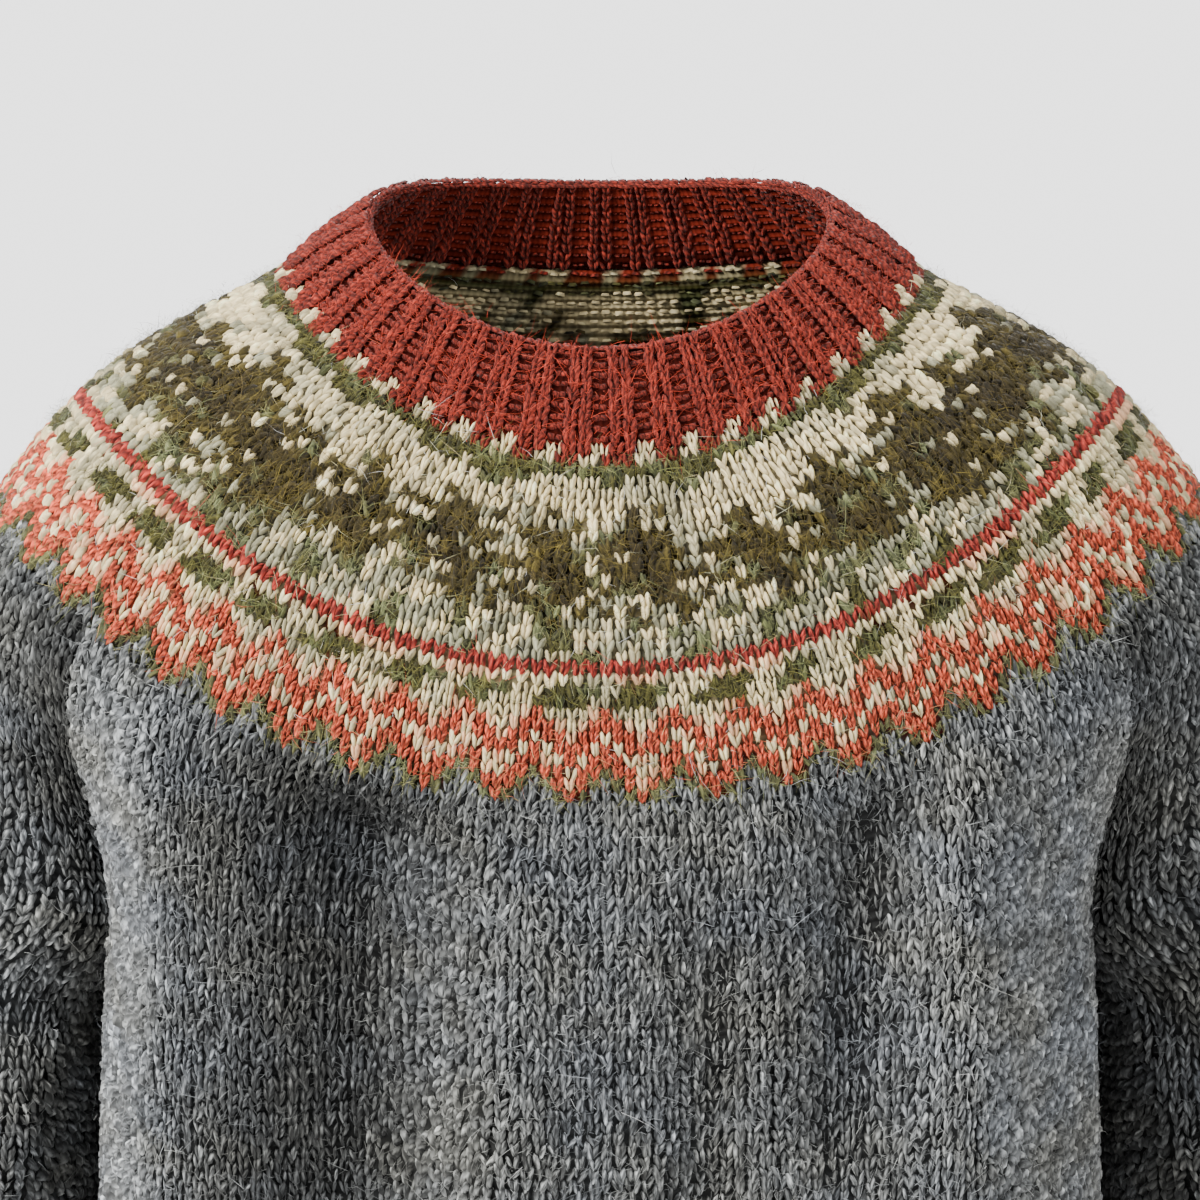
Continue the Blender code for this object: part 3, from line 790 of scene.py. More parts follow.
# %% [markdown]
# ## The dyes
# The yoke is knitted in ten colours on a cream ground, most of them muted, as if dyed with
# plants. They are given on the familiar scale of 0 to 255. Each colour belongs to one kind of
# yarn: the greens are mohair, the reds are twisted, and the rest is smooth.

# %% Dyes
def dye(red, green, blue):
    """A dye from the familiar 0 to 255 scale, made linear for the renderer."""
    share = np.array([red, green, blue]) / 255
    return np.where(share <= 0.04045, share / 12.92, ((share + 0.055) / 1.055) ** 2.4)


DYES = {
    "cream": (dye(230, 211, 162), CREAM),
    "peach": (dye(232, 182, 140), CREAM),
    "heather": (dye(152, 149, 122), CREAM),
    "sage": (dye(84, 88, 58), MOHAIR),
    "leaf": (dye(60, 62, 30), MOHAIR),
    "olive": (dye(60, 52, 20), MOHAIR),
    "stem": (dye(41, 34, 16), MOHAIR),
    "rust": (dye(127, 41, 28), TWIST),
    "line": (dye(160, 54, 44), TWIST),
    "coral": (dye(200, 84, 57), TWIST),
    "grey": (dye(104, 106, 106), GREY),
}
print(len(DYES), "dyes")

# %% [markdown]
# ## The garland
# A knitter works a yoke from a chart, one square for one stitch. Three fir sprigs are charted
# here, dark at the stem and olive at the needles, and set in turn all round the yoke.
# Copied squarely they would look printed, so each stitch is softened by its neighbours and by the
# yarn's own unevenness.

# %% Chart the garland
GARLAND_TOP = 4
SPRIGS = [
    ["....o.....", "....o..o..", "..oooo....", "...o#oo.o.", "oo.##ooo..", ".oo###.oo.", "o.o###oo..",
     ".oo.###o.o", "..ooo##oo.", "o..oo.#o..", "..o.oo..o.", "....o.oo..", "......o...", ".......o.."],
    [".....o....", "...o.o....", "....ooo.o.", ".oooo#o...", "..oo##ooo.", "oo.####o..", ".ooo##o.oo",
     "o.oo###oo.", "...o.o##..", ".oo..ooo.o", "...o..oo..", ".....o.o..", "...o......", "......o..."],
    ["...o......", "...oo.o...", ".oooo.....", "..o##oo.o.", "ooo##oo...", ".o.###oooo", "oooo##o.o.",
     "..oo.###oo", "o..oo##o..", "..o..ooo..", ".o.o...oo.", "...oo..o..", "......o...", "....o...o."],
]
GARLAND_WIDTH = 210
GARLAND_HEIGHT = 15
GARLAND_SPRIGS = 24


DROPS = (0, 1, 0, 2, 1)
DARKNESS = {".": 0.0, "o": 0.72, "#": 1.0}
NEIGHBOURS = ((0, 0, 0.72), (1, 0, 0.07), (-1, 0, 0.07), (0, 1, 0.07), (0, -1, 0.07))
GREENS = ((0.25, "heather"), (0.40, "sage"), (0.82, "olive"))
PALE_BELOW = 0.17
HOLE_SHARE = 0.13


def chart_garland():
    """The garland's chart: a row of sprigs, each one a little different and a little shifted.
    Towards the shoulders each is set twice, so that the garland thickens there."""
    chart = [["."] * GARLAND_WIDTH for _ in range(GARLAND_HEIGHT)]
    for number in range(GARLAND_SPRIGS):
        sprig = SPRIGS[(number * 2 + number // 5) % len(SPRIGS)]
        left = round((number + 0.5) * GARLAND_WIDTH / GARLAND_SPRIGS) - len(sprig[0]) // 2
        drop = DROPS[number % len(DROPS)]
        away = abs((number + 0.5) / GARLAND_SPRIGS - 0.5)
        shifts = (0,) if away < 0.13 else (0, 1)
        for down, line in enumerate(sprig):
            for across, mark in enumerate(line):
                for shift in shifts:
                    if mark != "." and down + drop < GARLAND_HEIGHT:
                        chart[down + drop][(left + across + shift) % GARLAND_WIDTH] = mark
    return ["".join(line) for line in chart]


GARLAND = chart_garland()


def garland_colour(row, column):
    """One stitch of the garland. Some are left pale, the lower rows fade, and off the middle it
    is a little darker."""
    unevenness = rng.normal(0, 0.10)
    hole = 0.6 if rng.random() < HOLE_SHARE else 0.0
    level = unevenness - hole - 0.08 * max(0, row - 8)
    level += 0.08 if abs(column / GARLAND_WIDTH - 0.5) > 0.12 and row > 3 else 0.0
    for down, across, weight in NEIGHBOURS:
        line = GARLAND[min(max(row + down, 0), GARLAND_HEIGHT - 1)]
        level += weight * DARKNESS[line[(column + across) % GARLAND_WIDTH]]
    if level < PALE_BELOW:
        return "sage" if level > -0.05 and row > 3 and rng.random() < 0.10 else "cream"
    for limit, name in GREENS:
        if level < limit:
            return name
    return "stem"


print("garland chart", len(GARLAND[0]), "by", len(GARLAND))

# %% [markdown]
# ## The other rounds
# The rest needs no chart. The lines are whole rounds, the dashes are counted off, and the zigzag
# steps one round for each stitch, six stitches to a repeat. Two crossed waves decide where a
# blotch of leaf green falls.

# %% Colours round by round
LINE_ROW = 19
BLUSH_ROW = 20
DASH_ROWS = (21, 22)
ZIGZAG_TOP = 23
ZIGZAG_REPEAT = 6


def under_garland(row, share_round):
    """Heather cream below the twigs, with leaf blotches just above the rust line."""
    turn = share_round * 2 * math.pi
    blotch = math.sin(turn * 29 + 0.9 * math.sin(turn * 7)) + 0.5 * math.sin(turn * 53 + row)
    if row >= 17 and blotch > 1.05:
        return "leaf"
    if row >= 16 and blotch > 0.75:
        return "sage"
    return "heather" if math.sin(turn * 41 + row * 1.7) > 0.1 * (18 - row) else "cream"


def zigzag_colour(row, place):
    """The zigzag: its tips point away from the neck, and it steps one round for each stitch."""
    half = ZIGZAG_REPEAT // 2
    step = abs((place % ZIGZAG_REPEAT) - half)
    depth = row - ZIGZAG_TOP - (half - step)
    if depth < 0:
        return "peach" if depth > -2 and (place * 7 + row) % 3 else "cream"
    if depth in (0, 4) or depth in (1, 3) and rng.random() < 0.85:
        return "coral"
    if depth in (1, 2, 3):
        return "cream" if depth == 2 else "peach"
    return "sage" if depth == 5 else "grey"


def yoke_colour(row, share_round, place):
    """The colour of one stitch of the yoke: row, share of the way round, and place in 276."""
    wobble = math.sin(share_round * 61.0) + math.sin(share_round * 137.0 + row)
    if row == 0:
        return "rust" if abs((share_round * 40) % 1 - 0.36) < 0.28 else "cream"
    if row == 1:
        return "leaf"
    if row == 2:
        return "leaf" if wobble > 0.0 else "cream"
    if row == 3:
        return "sage" if wobble > 1.5 else "cream"
    if GARLAND_TOP <= row < GARLAND_TOP + len(GARLAND):
        name = garland_colour(row - GARLAND_TOP, int(share_round * GARLAND_WIDTH))
        return under_garland(row, share_round) if name == "cream" and row > 12 else name
    if row == LINE_ROW:
        return "line"
    if row == BLUSH_ROW:
        return "peach" if wobble > 0.4 else "cream"
    if row in DASH_ROWS:
        long = 4 if wobble > 0 else 3
        return "leaf" if (int(share_round * 230) + row) % 6 < long else "cream"
    return zigzag_colour(row, place)


print("the zigzag starts at round", ZIGZAG_TOP)

# %% [markdown]
# ## Uneven dye
# Yarn is never one flat colour. Cream drifts to heather in soft patches, and the greens borrow
# from one another. Soft noise over the cloth gives the patches, and chance gives each stitch its
# own tone.

# %% Mottle the yarn
def soft_noise(points, size):
    """Slow, even noise over the cloth, from crossed waves."""
    x, y, z = (points / size).T
    return (np.sin(x * 2.1 + 1.3 * np.sin(z * 1.7)) + np.sin(z * 2.6 + 1.1 * np.sin(y * 1.9 + x))
            + np.sin((x + z) * 1.4 + 2.0 * np.sin(y * 1.2 - z * 0.8))) / 3


def mottled(tone, points, names):
    """The tones of a round of stitches, each drifting to the tones it is spun with."""
    count = len(tone)
    patch = soft_noise(points, 0.024)[:, None] + 0.5 * soft_noise(points + 1.7, 0.009)[:, None]
    patch = patch + rng.normal(0, 0.28, (count, 1))
    heather, sage, olive = DYES["heather"][0], DYES["sage"][0], DYES["olive"][0]
    names = np.array(names)
    pale = np.isin(names, ("cream", "heather"))[:, None]
    toward = np.clip(patch + 0.12, 0, 1.0) * 0.75
    tone = np.where(pale, tone * (1 - toward) + heather * toward, tone)
    green = np.isin(names, ("leaf", "sage"))[:, None]
    other = np.where(rng.random((count, 1)) < 0.3, sage, olive)
    tone = np.where(green, tone * 0.55 + other * 0.45, tone)
    twig = np.isin(names, ("olive", "stem"))[:, None]
    share = rng.random((count, 1)) * 0.7
    tone = np.where(twig, tone * (1 - share) + (olive + DYES["stem"][0]) / 2 * share, tone)
    return tone * np.exp(rng.normal(0, 0.09, (count, 1)))


print("noise at the neck", np.round(soft_noise(np.zeros((1, 3)), 0.024), 3))

# %% [markdown]
# ## The yoke
# The yoke widens from the neck by increases: 168 stitches, then 210, then 276. The stitches
# ahead are made with the fuller leg, as they are the part one looks at. The rust line is knitted
# looser, so it stands taller. Through the neck one sees the upper rounds from inside, where
# knitting shows purl bars.

# %% Knit the yoke
YOKE_ROW_COUNT = 31
INSIDE_ROWS = 12
LINE_HEIGHT = 1.35
MARGIN = 2  # places past the end of a round, so that every stitch has a neighbour


def whole_round(stitches):
    return np.arange(-(stitches // 2) - MARGIN, stitches // 2 + MARGIN + 1)


def plain_frame(grid, stitches, row, place):
    """Frames on a grid that goes once round, with rows one stitch high."""
    first = -stitches / 2 - MARGIN
    point, across, down = on_grid(grid, row, place - first)
    return point, -unit(np.cross(across, down)), across, down


def yoke_round(row):
    """How many stitches a round of the yoke has."""
    if row < 11:
        return 168
    return 210 if row < 21 else YOKE_STITCHES


yoke_grid = yoke_skin(np.arange(YOKE_ROW_COUNT + 1) / YOKE_ROW_COUNT, whole_round(YOKE_STITCHES))
yoke = Knitting("yoke_stitches")
yoke_marks = []
for row in range(YOKE_ROW_COUNT):
    around = yoke_round(row)
    share_round = (np.arange(around) + 0.5) / around
    places = -HALF_YOKE + share_round * YOKE_STITCHES
    frames = plain_frame(yoke_grid, YOKE_STITCHES, np.full(around, row + 0.5), places)
    point, normal, across, down = frames
    across = across * (YOKE_STITCHES / around)
    down = down * LINE_HEIGHT if row == LINE_ROW else down
    frames = (point, normal, across, down)
    colours = [yoke_colour(row, share, int(place + HALF_YOKE))
               for share, place in zip(share_round, places)]
    tone = np.array([DYES[name][0] for name in colours])
    kind = np.array([DYES[name][1] for name in colours])
    tone = mottled(tone, point, colours)
    ahead = np.abs(share_round - 0.5) < 0.29
    for part, shape in ((ahead, KNIT_LEG), (~ahead, PLAIN_LEG)):
        yoke.stitches([array[part] for array in frames], tone[part], kind[part], shape)
    yoke_marks.append((point, normal, tone, kind))
    if row < INSIDE_ROWS:
        behind = (point - normal * (WALL - 0.0004), -normal, across, down)
        # Painted shade: the purl bars inside are a tenth darker than the stitches outside.
        yoke.stitches(behind, tone * 0.9, kind, PURL_BAR, sides=(1,))
yoke_stitches = yoke.mesh(WOOLS, "patterned_wool")


# %% [markdown]
# ## The front and back
# Below the yoke the body goes on in grey marl. Where the front turns in to meet a sleeve, its
# wales go on fanning out from the yoke and only then hang straight. Each panel is measured as
# one fabric, with a strip of underarm stitches at either side that begins lower down.

# %% Measure the wales
ROW = 0.0047


def panel_fabric(join_skin, half, offset=0.0):
    """Cloth of the front or back from the yoke's edge to the rib, and its underarm stitches."""
    inner = np.arange(-half, half + 1) + offset
    top = join_skin(np.linspace(0, 1, 40), inner)
    below = body_skin(np.linspace(0, 1, 60), inner)
    steps = np.linalg.norm(np.diff(top, axis=0), axis=2).sum(axis=0)
    fabric = Fabric(np.concatenate([top, below[1:]]), -half, ROW)
    sides = []
    strips = ((-half - UNDERARM_HALF, -half, steps[0]), (half, half + UNDERARM_HALF, steps[-1]))
    for first, last, reach in strips:
        skin = body_skin(np.linspace(0, 1, 60), np.arange(first, last + 1) + offset)
        sides.append(Fabric(skin, first, ROW, start=reach))
    return fabric, sides


front_fabric, front_sides = panel_fabric(join_front_skin, FRONT_HALF)
back_fabric, back_sides = panel_fabric(join_back_skin, BACK_HALF, offset=BODY_STITCHES / 2)
print("front rows", round(float(front_fabric.rows.min())), "to", round(float(front_fabric.rows.max())))
stitch = front_fabric.grid[30, FRONT_HALF] - front_fabric.grid[30, FRONT_HALF + 1]
print("stitch width", round(float(np.linalg.norm(stitch)), 5))

# %% [markdown]
# ## Painted shade on the grey
# The grey is painted darker in the troughs and lighter on the ridges by the depth of the fold:
# painted shade and painted light over what the form gives. A wide hollow left of the middle gets
# more painted shade. Marl also drifts between a warmer and a cooler grey.

# %% Tone of the grey wool
FOLD_SHADE = 20


def shade(points):
    """Painted shade over the wide hollow left of the middle, on the front, where the light comes
    from the side.
    """
    x, y, z = points.T
    depth = 0.48 * np.exp(-((x + 0.130) / 0.040) ** 2) * smoothstep((-z - 0.14) / 0.06)
    return 1 - (depth * (y < 0))[:, None]


def grey_with_painted_shade(points):
    cloudy = soft_noise(points, 0.045)[:, None] + 0.8 * soft_noise(points + 3.1, 0.014)[:, None]
    drift = soft_noise(points + 7.7, 0.030)[:, None] + 0.7 * soft_noise(points + 2.3, 0.011)[:, None]
    warm = np.array([1.035, 1.01, 0.95]) ** np.clip(drift * 1.3, -1.2, 1.2)
    hollow = np.where(points[:, 1] < 0, fold_lift("front", points), fold_lift("back", points))
    # Painted shade in the troughs and painted light on the ridges of the folds.
    painted_fold_shade = 1 + FOLD_SHADE * np.clip(hollow, -0.026, 0.012)[:, None]
    return DYES["grey"][0] * (1 + 0.10 * cloudy) * warm * painted_fold_shade * shade(points)


print("grey at the front middle", np.round(grey_with_painted_shade(np.array([[0.0, -0.14, -0.4]]))[0], 3))

# %% [markdown]
# ## Knit the front and back
# The upper rows of the front use the fuller leg, the rest the plainer one, which is enough away
# from the yoke. The back has the simplest leg of all, to keep the piece light.

# %% Knit the panels
FULLER_ROWS = 34


def knit_panel(knitting, fabric, sides, half, upper_leg, lower_leg, marks):
    edge = half + UNDERARM_HALF
    for part, begin, end in ((fabric, -half, half), (sides[0], -edge, -half), (sides[1], half, edge)):
        for row in range(int(part.rows.max()) + 1):
            places = part.knitted(row, np.arange(begin, end) + 0.5)
            if not len(places):
                continue
            frames = part.frame(np.full(len(places), row + 0.5), places)
            tone = grey_with_painted_shade(frames[0])
            kind = np.full(len(places), GREY)
            knitting.stitches(frames, tone, kind, upper_leg if row < FULLER_ROWS else lower_leg)
            marks.append((frames[0], frames[1], tone, kind))


front = Knitting("front_stitches")
front_marks = []
knit_panel(front, front_fabric, front_sides, FRONT_HALF, KNIT_LEG, PLAIN_LEG, front_marks)
front_stitches = front.mesh(WOOLS, "grey_wool")
back = Knitting("back_stitches")
back_marks = []
knit_panel(back, back_fabric, back_sides, BACK_HALF, BACK_LEG, BACK_LEG, back_marks)
back_stitches = back.mesh(WOOLS, "grey_wool")


# %% [markdown]
# ## The sleeves
# A sleeve is knitted down from the yoke and narrows along the underarm, where a pair of stitches
# is lost every few rounds. So its stitches keep their width and the outer ones run out at the
# underarm line. The left sleeve mirrors the right one.

# %% Knit the sleeves
SLEEVE_STITCH = 0.0050
MIRROR = np.array([-1.0, 1.0, 1.0])


def sleeve_fabrics():
    """Cloth of the right sleeve from the yoke's edge to the cuff, and its underarm stitches."""
    inner = np.arange(-SLEEVE_HALF, SLEEVE_HALF + 1)
    top = join_sleeve_skin(np.linspace(0, 1, 40), inner)
    lower = np.linspace(0, CUFF_SHARE, 90)
    below = sleeve_skin(lower, inner)
    fabric = Fabric(np.concatenate([top, below[1:]]), -SLEEVE_HALF, ROW)
    steps = np.linalg.norm(np.diff(top, axis=0), axis=2).sum(axis=0)
    strips = ((-HALF_SLEEVE + 0.001, -SLEEVE_HALF, steps[0]),
              (SLEEVE_HALF, HALF_SLEEVE - 0.001, steps[-1]))
    sides = []
    for first, last, reach in strips:
        places = np.linspace(first, last, UNDERARM_HALF + 1)
        sides.append(Fabric(sleeve_skin(lower, places), first, ROW, start=reach))
    return fabric, sides


def painted_sleeve_shading(points, places, mirror):
    """Painted shading of a sleeve, as two factors: the right one a little darker all over and the
    left one darker at its top and lighter lower down, and both darker towards the underarm.
    """
    low = smoothstep((-points[:, 2:] - 0.19) / 0.07)
    beside = smoothstep((SLEEVE_HALF - np.abs(places)) / 8)[:, None]
    return (0.60 + 0.75 * low if mirror else 0.84), (0.5 + 0.5 * beside)


def knit_sleeve(knitting, fabric, sides, mirror, marks):
    turn = MIRROR if mirror else np.ones(3)
    parts = ((fabric, -SLEEVE_HALF, SLEEVE_HALF), (sides[0], -HALF_SLEEVE, -SLEEVE_HALF),
             (sides[1], SLEEVE_HALF, HALF_SLEEVE))
    for row in range(int(fabric.rows.max()) + 1):
        middle = fabric.frame(np.array([row + 0.5]), np.array([0.0]))
        stride = max(1.0, SLEEVE_STITCH / np.linalg.norm(middle[2]))
        reach = int(HALF_SLEEVE / stride) + 1
        places = (np.arange(-reach, reach) + 0.5) * stride
        for part, begin, end in parts:
            here = part.knitted(row, places[(places >= begin) & (places < end)])
            if not len(here):
                continue
            point, normal, across, down = part.frame(np.full(len(here), row + 0.5), here)
            frames = (point * turn, normal * turn, across * stride * turn, down * turn)
            painted_overall_shading, painted_underarm_shade = painted_sleeve_shading(frames[0], here, mirror)
            # The sleeve's grey gets painted shade, and lower down the left one painted light.
            tone = grey_with_painted_shade(frames[0]) * painted_overall_shading * painted_underarm_shade
            kind = np.full(len(here), GREY)
            knitting.stitches(frames, tone, kind, PLAIN_LEG)
            marks.append((frames[0], frames[1], tone, kind))


sleeve_fabric, sleeve_sides = sleeve_fabrics()
sleeve_marks = {}
sleeve_stitches = {}
for side, mirror in (("right", False), ("left", True)):
    sleeve = Knitting("sleeve_" + side + "_stitches")
    sleeve_marks[side] = []
    knit_sleeve(sleeve, sleeve_fabric, sleeve_sides, mirror, sleeve_marks[side])
    sleeve_stitches[side] = sleeve.mesh(WOOLS, "grey_wool")


# %% [markdown]
# ## Ribs
# The neckband, hem and cuffs are ribbed: two knit columns stand up, two purl columns sink
# between them. Under tension the purl columns close up, so they get a smaller share of the
# round. The inside of a rib looks the same with the columns swapped, so it is knitted too.

# %% Knit a rib
KNIT_SHARE = 0.66
RIB_LIFT = 0.0015


def rib_frames(grid, total, row, places, lift, width, inside, turn):
    """Frames of one column of every rib, lifted off the skin; inside ones face the other way."""
    places = (places + total / 2) % total - total / 2
    frames = plain_frame(grid, total, np.full(len(places), row + 0.5), places)
    point, normal, across, down = frames
    point = point + normal * lift
    normal = -normal if inside else normal
    return point * turn, normal * turn, across * width * turn, down * turn


def rib(knitting, grid, rows, ribs, total, colour, marks, shape, inside=False, mirror=False,
        teeth=False):
    """Rows of rib on a grid with one row for each stitch; total is the places round it. With
    teeth, the last purl stitches are cream knit ones."""
    turn = MIRROR if mirror else np.ones(3)
    period = total / ribs
    wide = KNIT_SHARE * period / 2
    gap = (1 - KNIT_SHARE) * period
    knit_lift = -WALL - RIB_LIFT * 0.2 if inside else RIB_LIFT
    purl_lift = -WALL + RIB_LIFT * 0.5 if inside else -RIB_LIFT * 0.35
    dye_of_rib, yarn_of_rib = DYES[colour]
    kind = np.full(ribs, yarn_of_rib)
    for row in range(rows):
        middles = -total / 2 + (np.arange(ribs) + 0.5) * period
        shift = period / 2 if inside else 0.0
        for step in (-0.5, 0.5):
            places = middles + shift + step * wide
            frames = rib_frames(grid, total, row, places, knit_lift, wide, inside, turn)
            tone = grey_with_painted_shade(frames[0]) if colour == "grey" else np.tile(dye_of_rib, (ribs, 1))
            knitting.stitches(frames, tone, kind, shape, plump=0.85)
            marks.append((frames[0], frames[1], tone, kind))
        for step in (-0.25, 0.25):
            places = middles + shift + period / 2 + step * gap
            frames = rib_frames(grid, total, row, places, purl_lift, gap / 2, inside, turn)
            if teeth and row == rows - 1:
                point, normal, across, down = frames
                cream = np.tile(DYES["cream"][0], (ribs, 1))
                frames = (point, normal, across * 1.3, down)
                knitting.stitches(frames, cream, np.full(ribs, CREAM), PLAIN_LEG)
                continue
            # Painted shade: rust purl bars are a little darker than the knit columns, where they sink
            # between them.
            tone = grey_with_painted_shade(frames[0]) if colour == "grey" else np.tile(dye_of_rib * 0.92, (ribs, 1))
            knitting.stitches(frames, tone, kind, RIB_BAR, sides=(1,))


NECK_ROWS = 10
NECK_RIBS = 40


def neck_skin(shares, places):
    return yoke_skin(NECK_TOP * (1 - np.asarray(shares)), places)


neck_grid = neck_skin(np.arange(NECK_ROWS + 1) / NECK_ROWS, whole_round(YOKE_STITCHES))
neckband = Knitting("neckband_stitches")
neck_marks = []
rib(neckband, neck_grid, NECK_ROWS, NECK_RIBS, YOKE_STITCHES, "rust", neck_marks, RIB_LEG, teeth=True)
rib(neckband, neck_grid, NECK_ROWS, NECK_RIBS, YOKE_STITCHES, "rust", [], PLAIN_LEG, inside=True)
print(NECK_RIBS, "ribs round the neck")

# %% [markdown]
# The band is cast off with a chain that rolls over its edge. Its stitches lie along the edge, so
# each frame is turned a quarter: what was down the wale now runs round the neck.

# %% Cast off the neck
CHAIN = 150
CHAIN_WIDTH = 0.0034
edge_places = -HALF_YOKE + (np.arange(CHAIN) + 0.5) * YOKE_STITCHES / CHAIN
point, normal, across, down = plain_frame(neck_grid, YOKE_STITCHES, np.full(CHAIN, 0.0), edge_places)
out = -unit(down)
for share, lean in ((0.15, 0.75), (0.95, -0.25)):
    centre = point - normal * (WALL * share) + out * 0.0006
    facing = unit(out * 0.8 + normal * lean)
    around = unit(across) * np.linalg.norm(across, axis=1, keepdims=True) * YOKE_STITCHES / CHAIN
    through = unit(np.cross(facing, around)) * CHAIN_WIDTH
    frames = (centre, facing, through, around * 1.05)
    neckband.stitches(frames, np.tile(DYES["rust"][0], (CHAIN, 1)), np.full(CHAIN, TWIST), PLAIN_LEG)
neck_stitches = neckband.mesh(WOOLS, "rust_wool")

# %% [markdown]
# ## Hem and cuffs
# The hem and the cuffs are the same rib in grey. Nobody looks into them, so only their outside
# is knitted. The left cuff mirrors the right one.

# %% Knit the hem and cuffs
HEM_ROWS = 13
HEM_RIBS = 53
hem_grid = hem_skin(np.arange(HEM_ROWS + 1) / HEM_ROWS, whole_round(BODY_STITCHES))
hem = Knitting("hem_rib_stitches")
hem_marks = []
rib(hem, hem_grid, HEM_ROWS, HEM_RIBS, BODY_STITCHES, "grey", hem_marks, PLAIN_LEG)
hem_stitches = hem.mesh(WOOLS, "grey_wool")
CUFF_ROWS = 12
CUFF_RIBS = 12
cuff_shares = CUFF_SHARE + (1 - CUFF_SHARE) * np.arange(CUFF_ROWS + 1) / CUFF_ROWS
cuff_grid = cuff_skin(cuff_shares, whole_round(SLEEVE_STITCHES))
cuff_marks = {}
for side, mirror in (("right", False), ("left", True)):
    cuff = Knitting("cuff_" + side + "_stitches")
    cuff_marks[side] = []
    rib(cuff, cuff_grid, CUFF_ROWS, CUFF_RIBS, SLEEVE_STITCHES, "grey", cuff_marks[side], PLAIN_LEG,
        mirror=mirror)
    cuff.mesh(WOOLS, "grey_wool")

# %% [markdown]
# ## The cloth under the stitches
# Between the stitches the eye sees yarn in shade and never a hole, because the loops behind
# fill every gap. A thin closed shell stands for those loops, painted dark as painted shade. Its
# material is raised in small bars, as the purl side is, which are too slight and too many to
# model, and is painted darker between the bars and lighter on them.

# %% Material of the shell
def shell_material(name):
    material = bpy.data.materials.new(name)
    material.use_nodes = True
    nodes, links = material.node_tree.nodes, material.node_tree.links
    wool = nodes["Principled BSDF"]
    wool.inputs["Roughness"].default_value = 0.95
    wool.inputs["Specular IOR Level"].default_value = 0.05
    dye_and_shade_node = nodes.new("ShaderNodeAttribute")
    dye_and_shade_node.attribute_name = "dye"
    place = nodes.new("ShaderNodeUVMap")
    place.uv_map = "yarn"
    bars = nodes.new("ShaderNodeVectorMath")
    bars.operation = "MULTIPLY"
    bars.inputs[1].default_value = (math.pi * 2, math.pi * 2, 0.0)
    links.new(place.outputs["UV"], bars.inputs[0])
    wave = nodes.new("ShaderNodeVectorMath")
    wave.operation = "SINE"
    links.new(bars.outputs[0], wave.inputs[0])
    split = nodes.new("ShaderNodeSeparateXYZ")
    links.new(wave.outputs[0], split.inputs[0])
    mixed = nodes.new("ShaderNodeMath")
    mixed.operation = "MULTIPLY_ADD"
    mixed.inputs[1].default_value = 0.35
    links.new(split.outputs["X"], mixed.inputs[0])
    links.new(split.outputs["Y"], mixed.inputs[2])
    bump = nodes.new("ShaderNodeBump")
    bump.inputs["Strength"].default_value = 0.8
    bump.inputs["Distance"].default_value = 0.0008
    links.new(mixed.outputs[0], bump.inputs["Height"])
    links.new(bump.outputs[0], wool.inputs["Normal"])
    # Painted shade between the bars and painted light on them, from the bars' height.
    shade = nodes.new("ShaderNodeMapRange")
    shade.inputs["From Min"].default_value = -1.35
    shade.inputs["From Max"].default_value = 1.35
    shade.inputs["To Min"].default_value = 0.55
    shade.inputs["To Max"].default_value = 1.15
    links.new(mixed.outputs[0], shade.inputs["Value"])
    scaled = nodes.new("ShaderNodeVectorMath")
    scaled.operation = "SCALE"
    links.new(dye_and_shade_node.outputs["Color"], scaled.inputs[0])
    links.new(shade.outputs["Result"], scaled.inputs["Scale"])
    links.new(scaled.outputs[0], wool.inputs["Base Color"])
    return material


SHELL_WOOL = shell_material("loops_behind")
print("shell material", SHELL_WOOL.name)

# %% [markdown]
# ## Building a shell
# A shell is a grid of the skin taken twice, for its outside and its inside, and closed by rims.
# A round piece is welded where its ends meet. Each point takes the dye of the nearest stitch and
# is painted much darker outside, as painted shade between the stitches, and darker inside.

# %% Shells
OUTSIDE_DEPTH = 0.0009
INSIDE_DEPTH = WALL - 0.0002
# Painted shade: how dark the shell is painted outside, between the stitches, and inside.
OUTSIDE_SHADE = 0.17
INSIDE_SHADE = 0.55


def quads(a, b, c, d):
    return np.stack([a.ravel(), b.ravel(), c.ravel(), d.ravel()], axis=1)


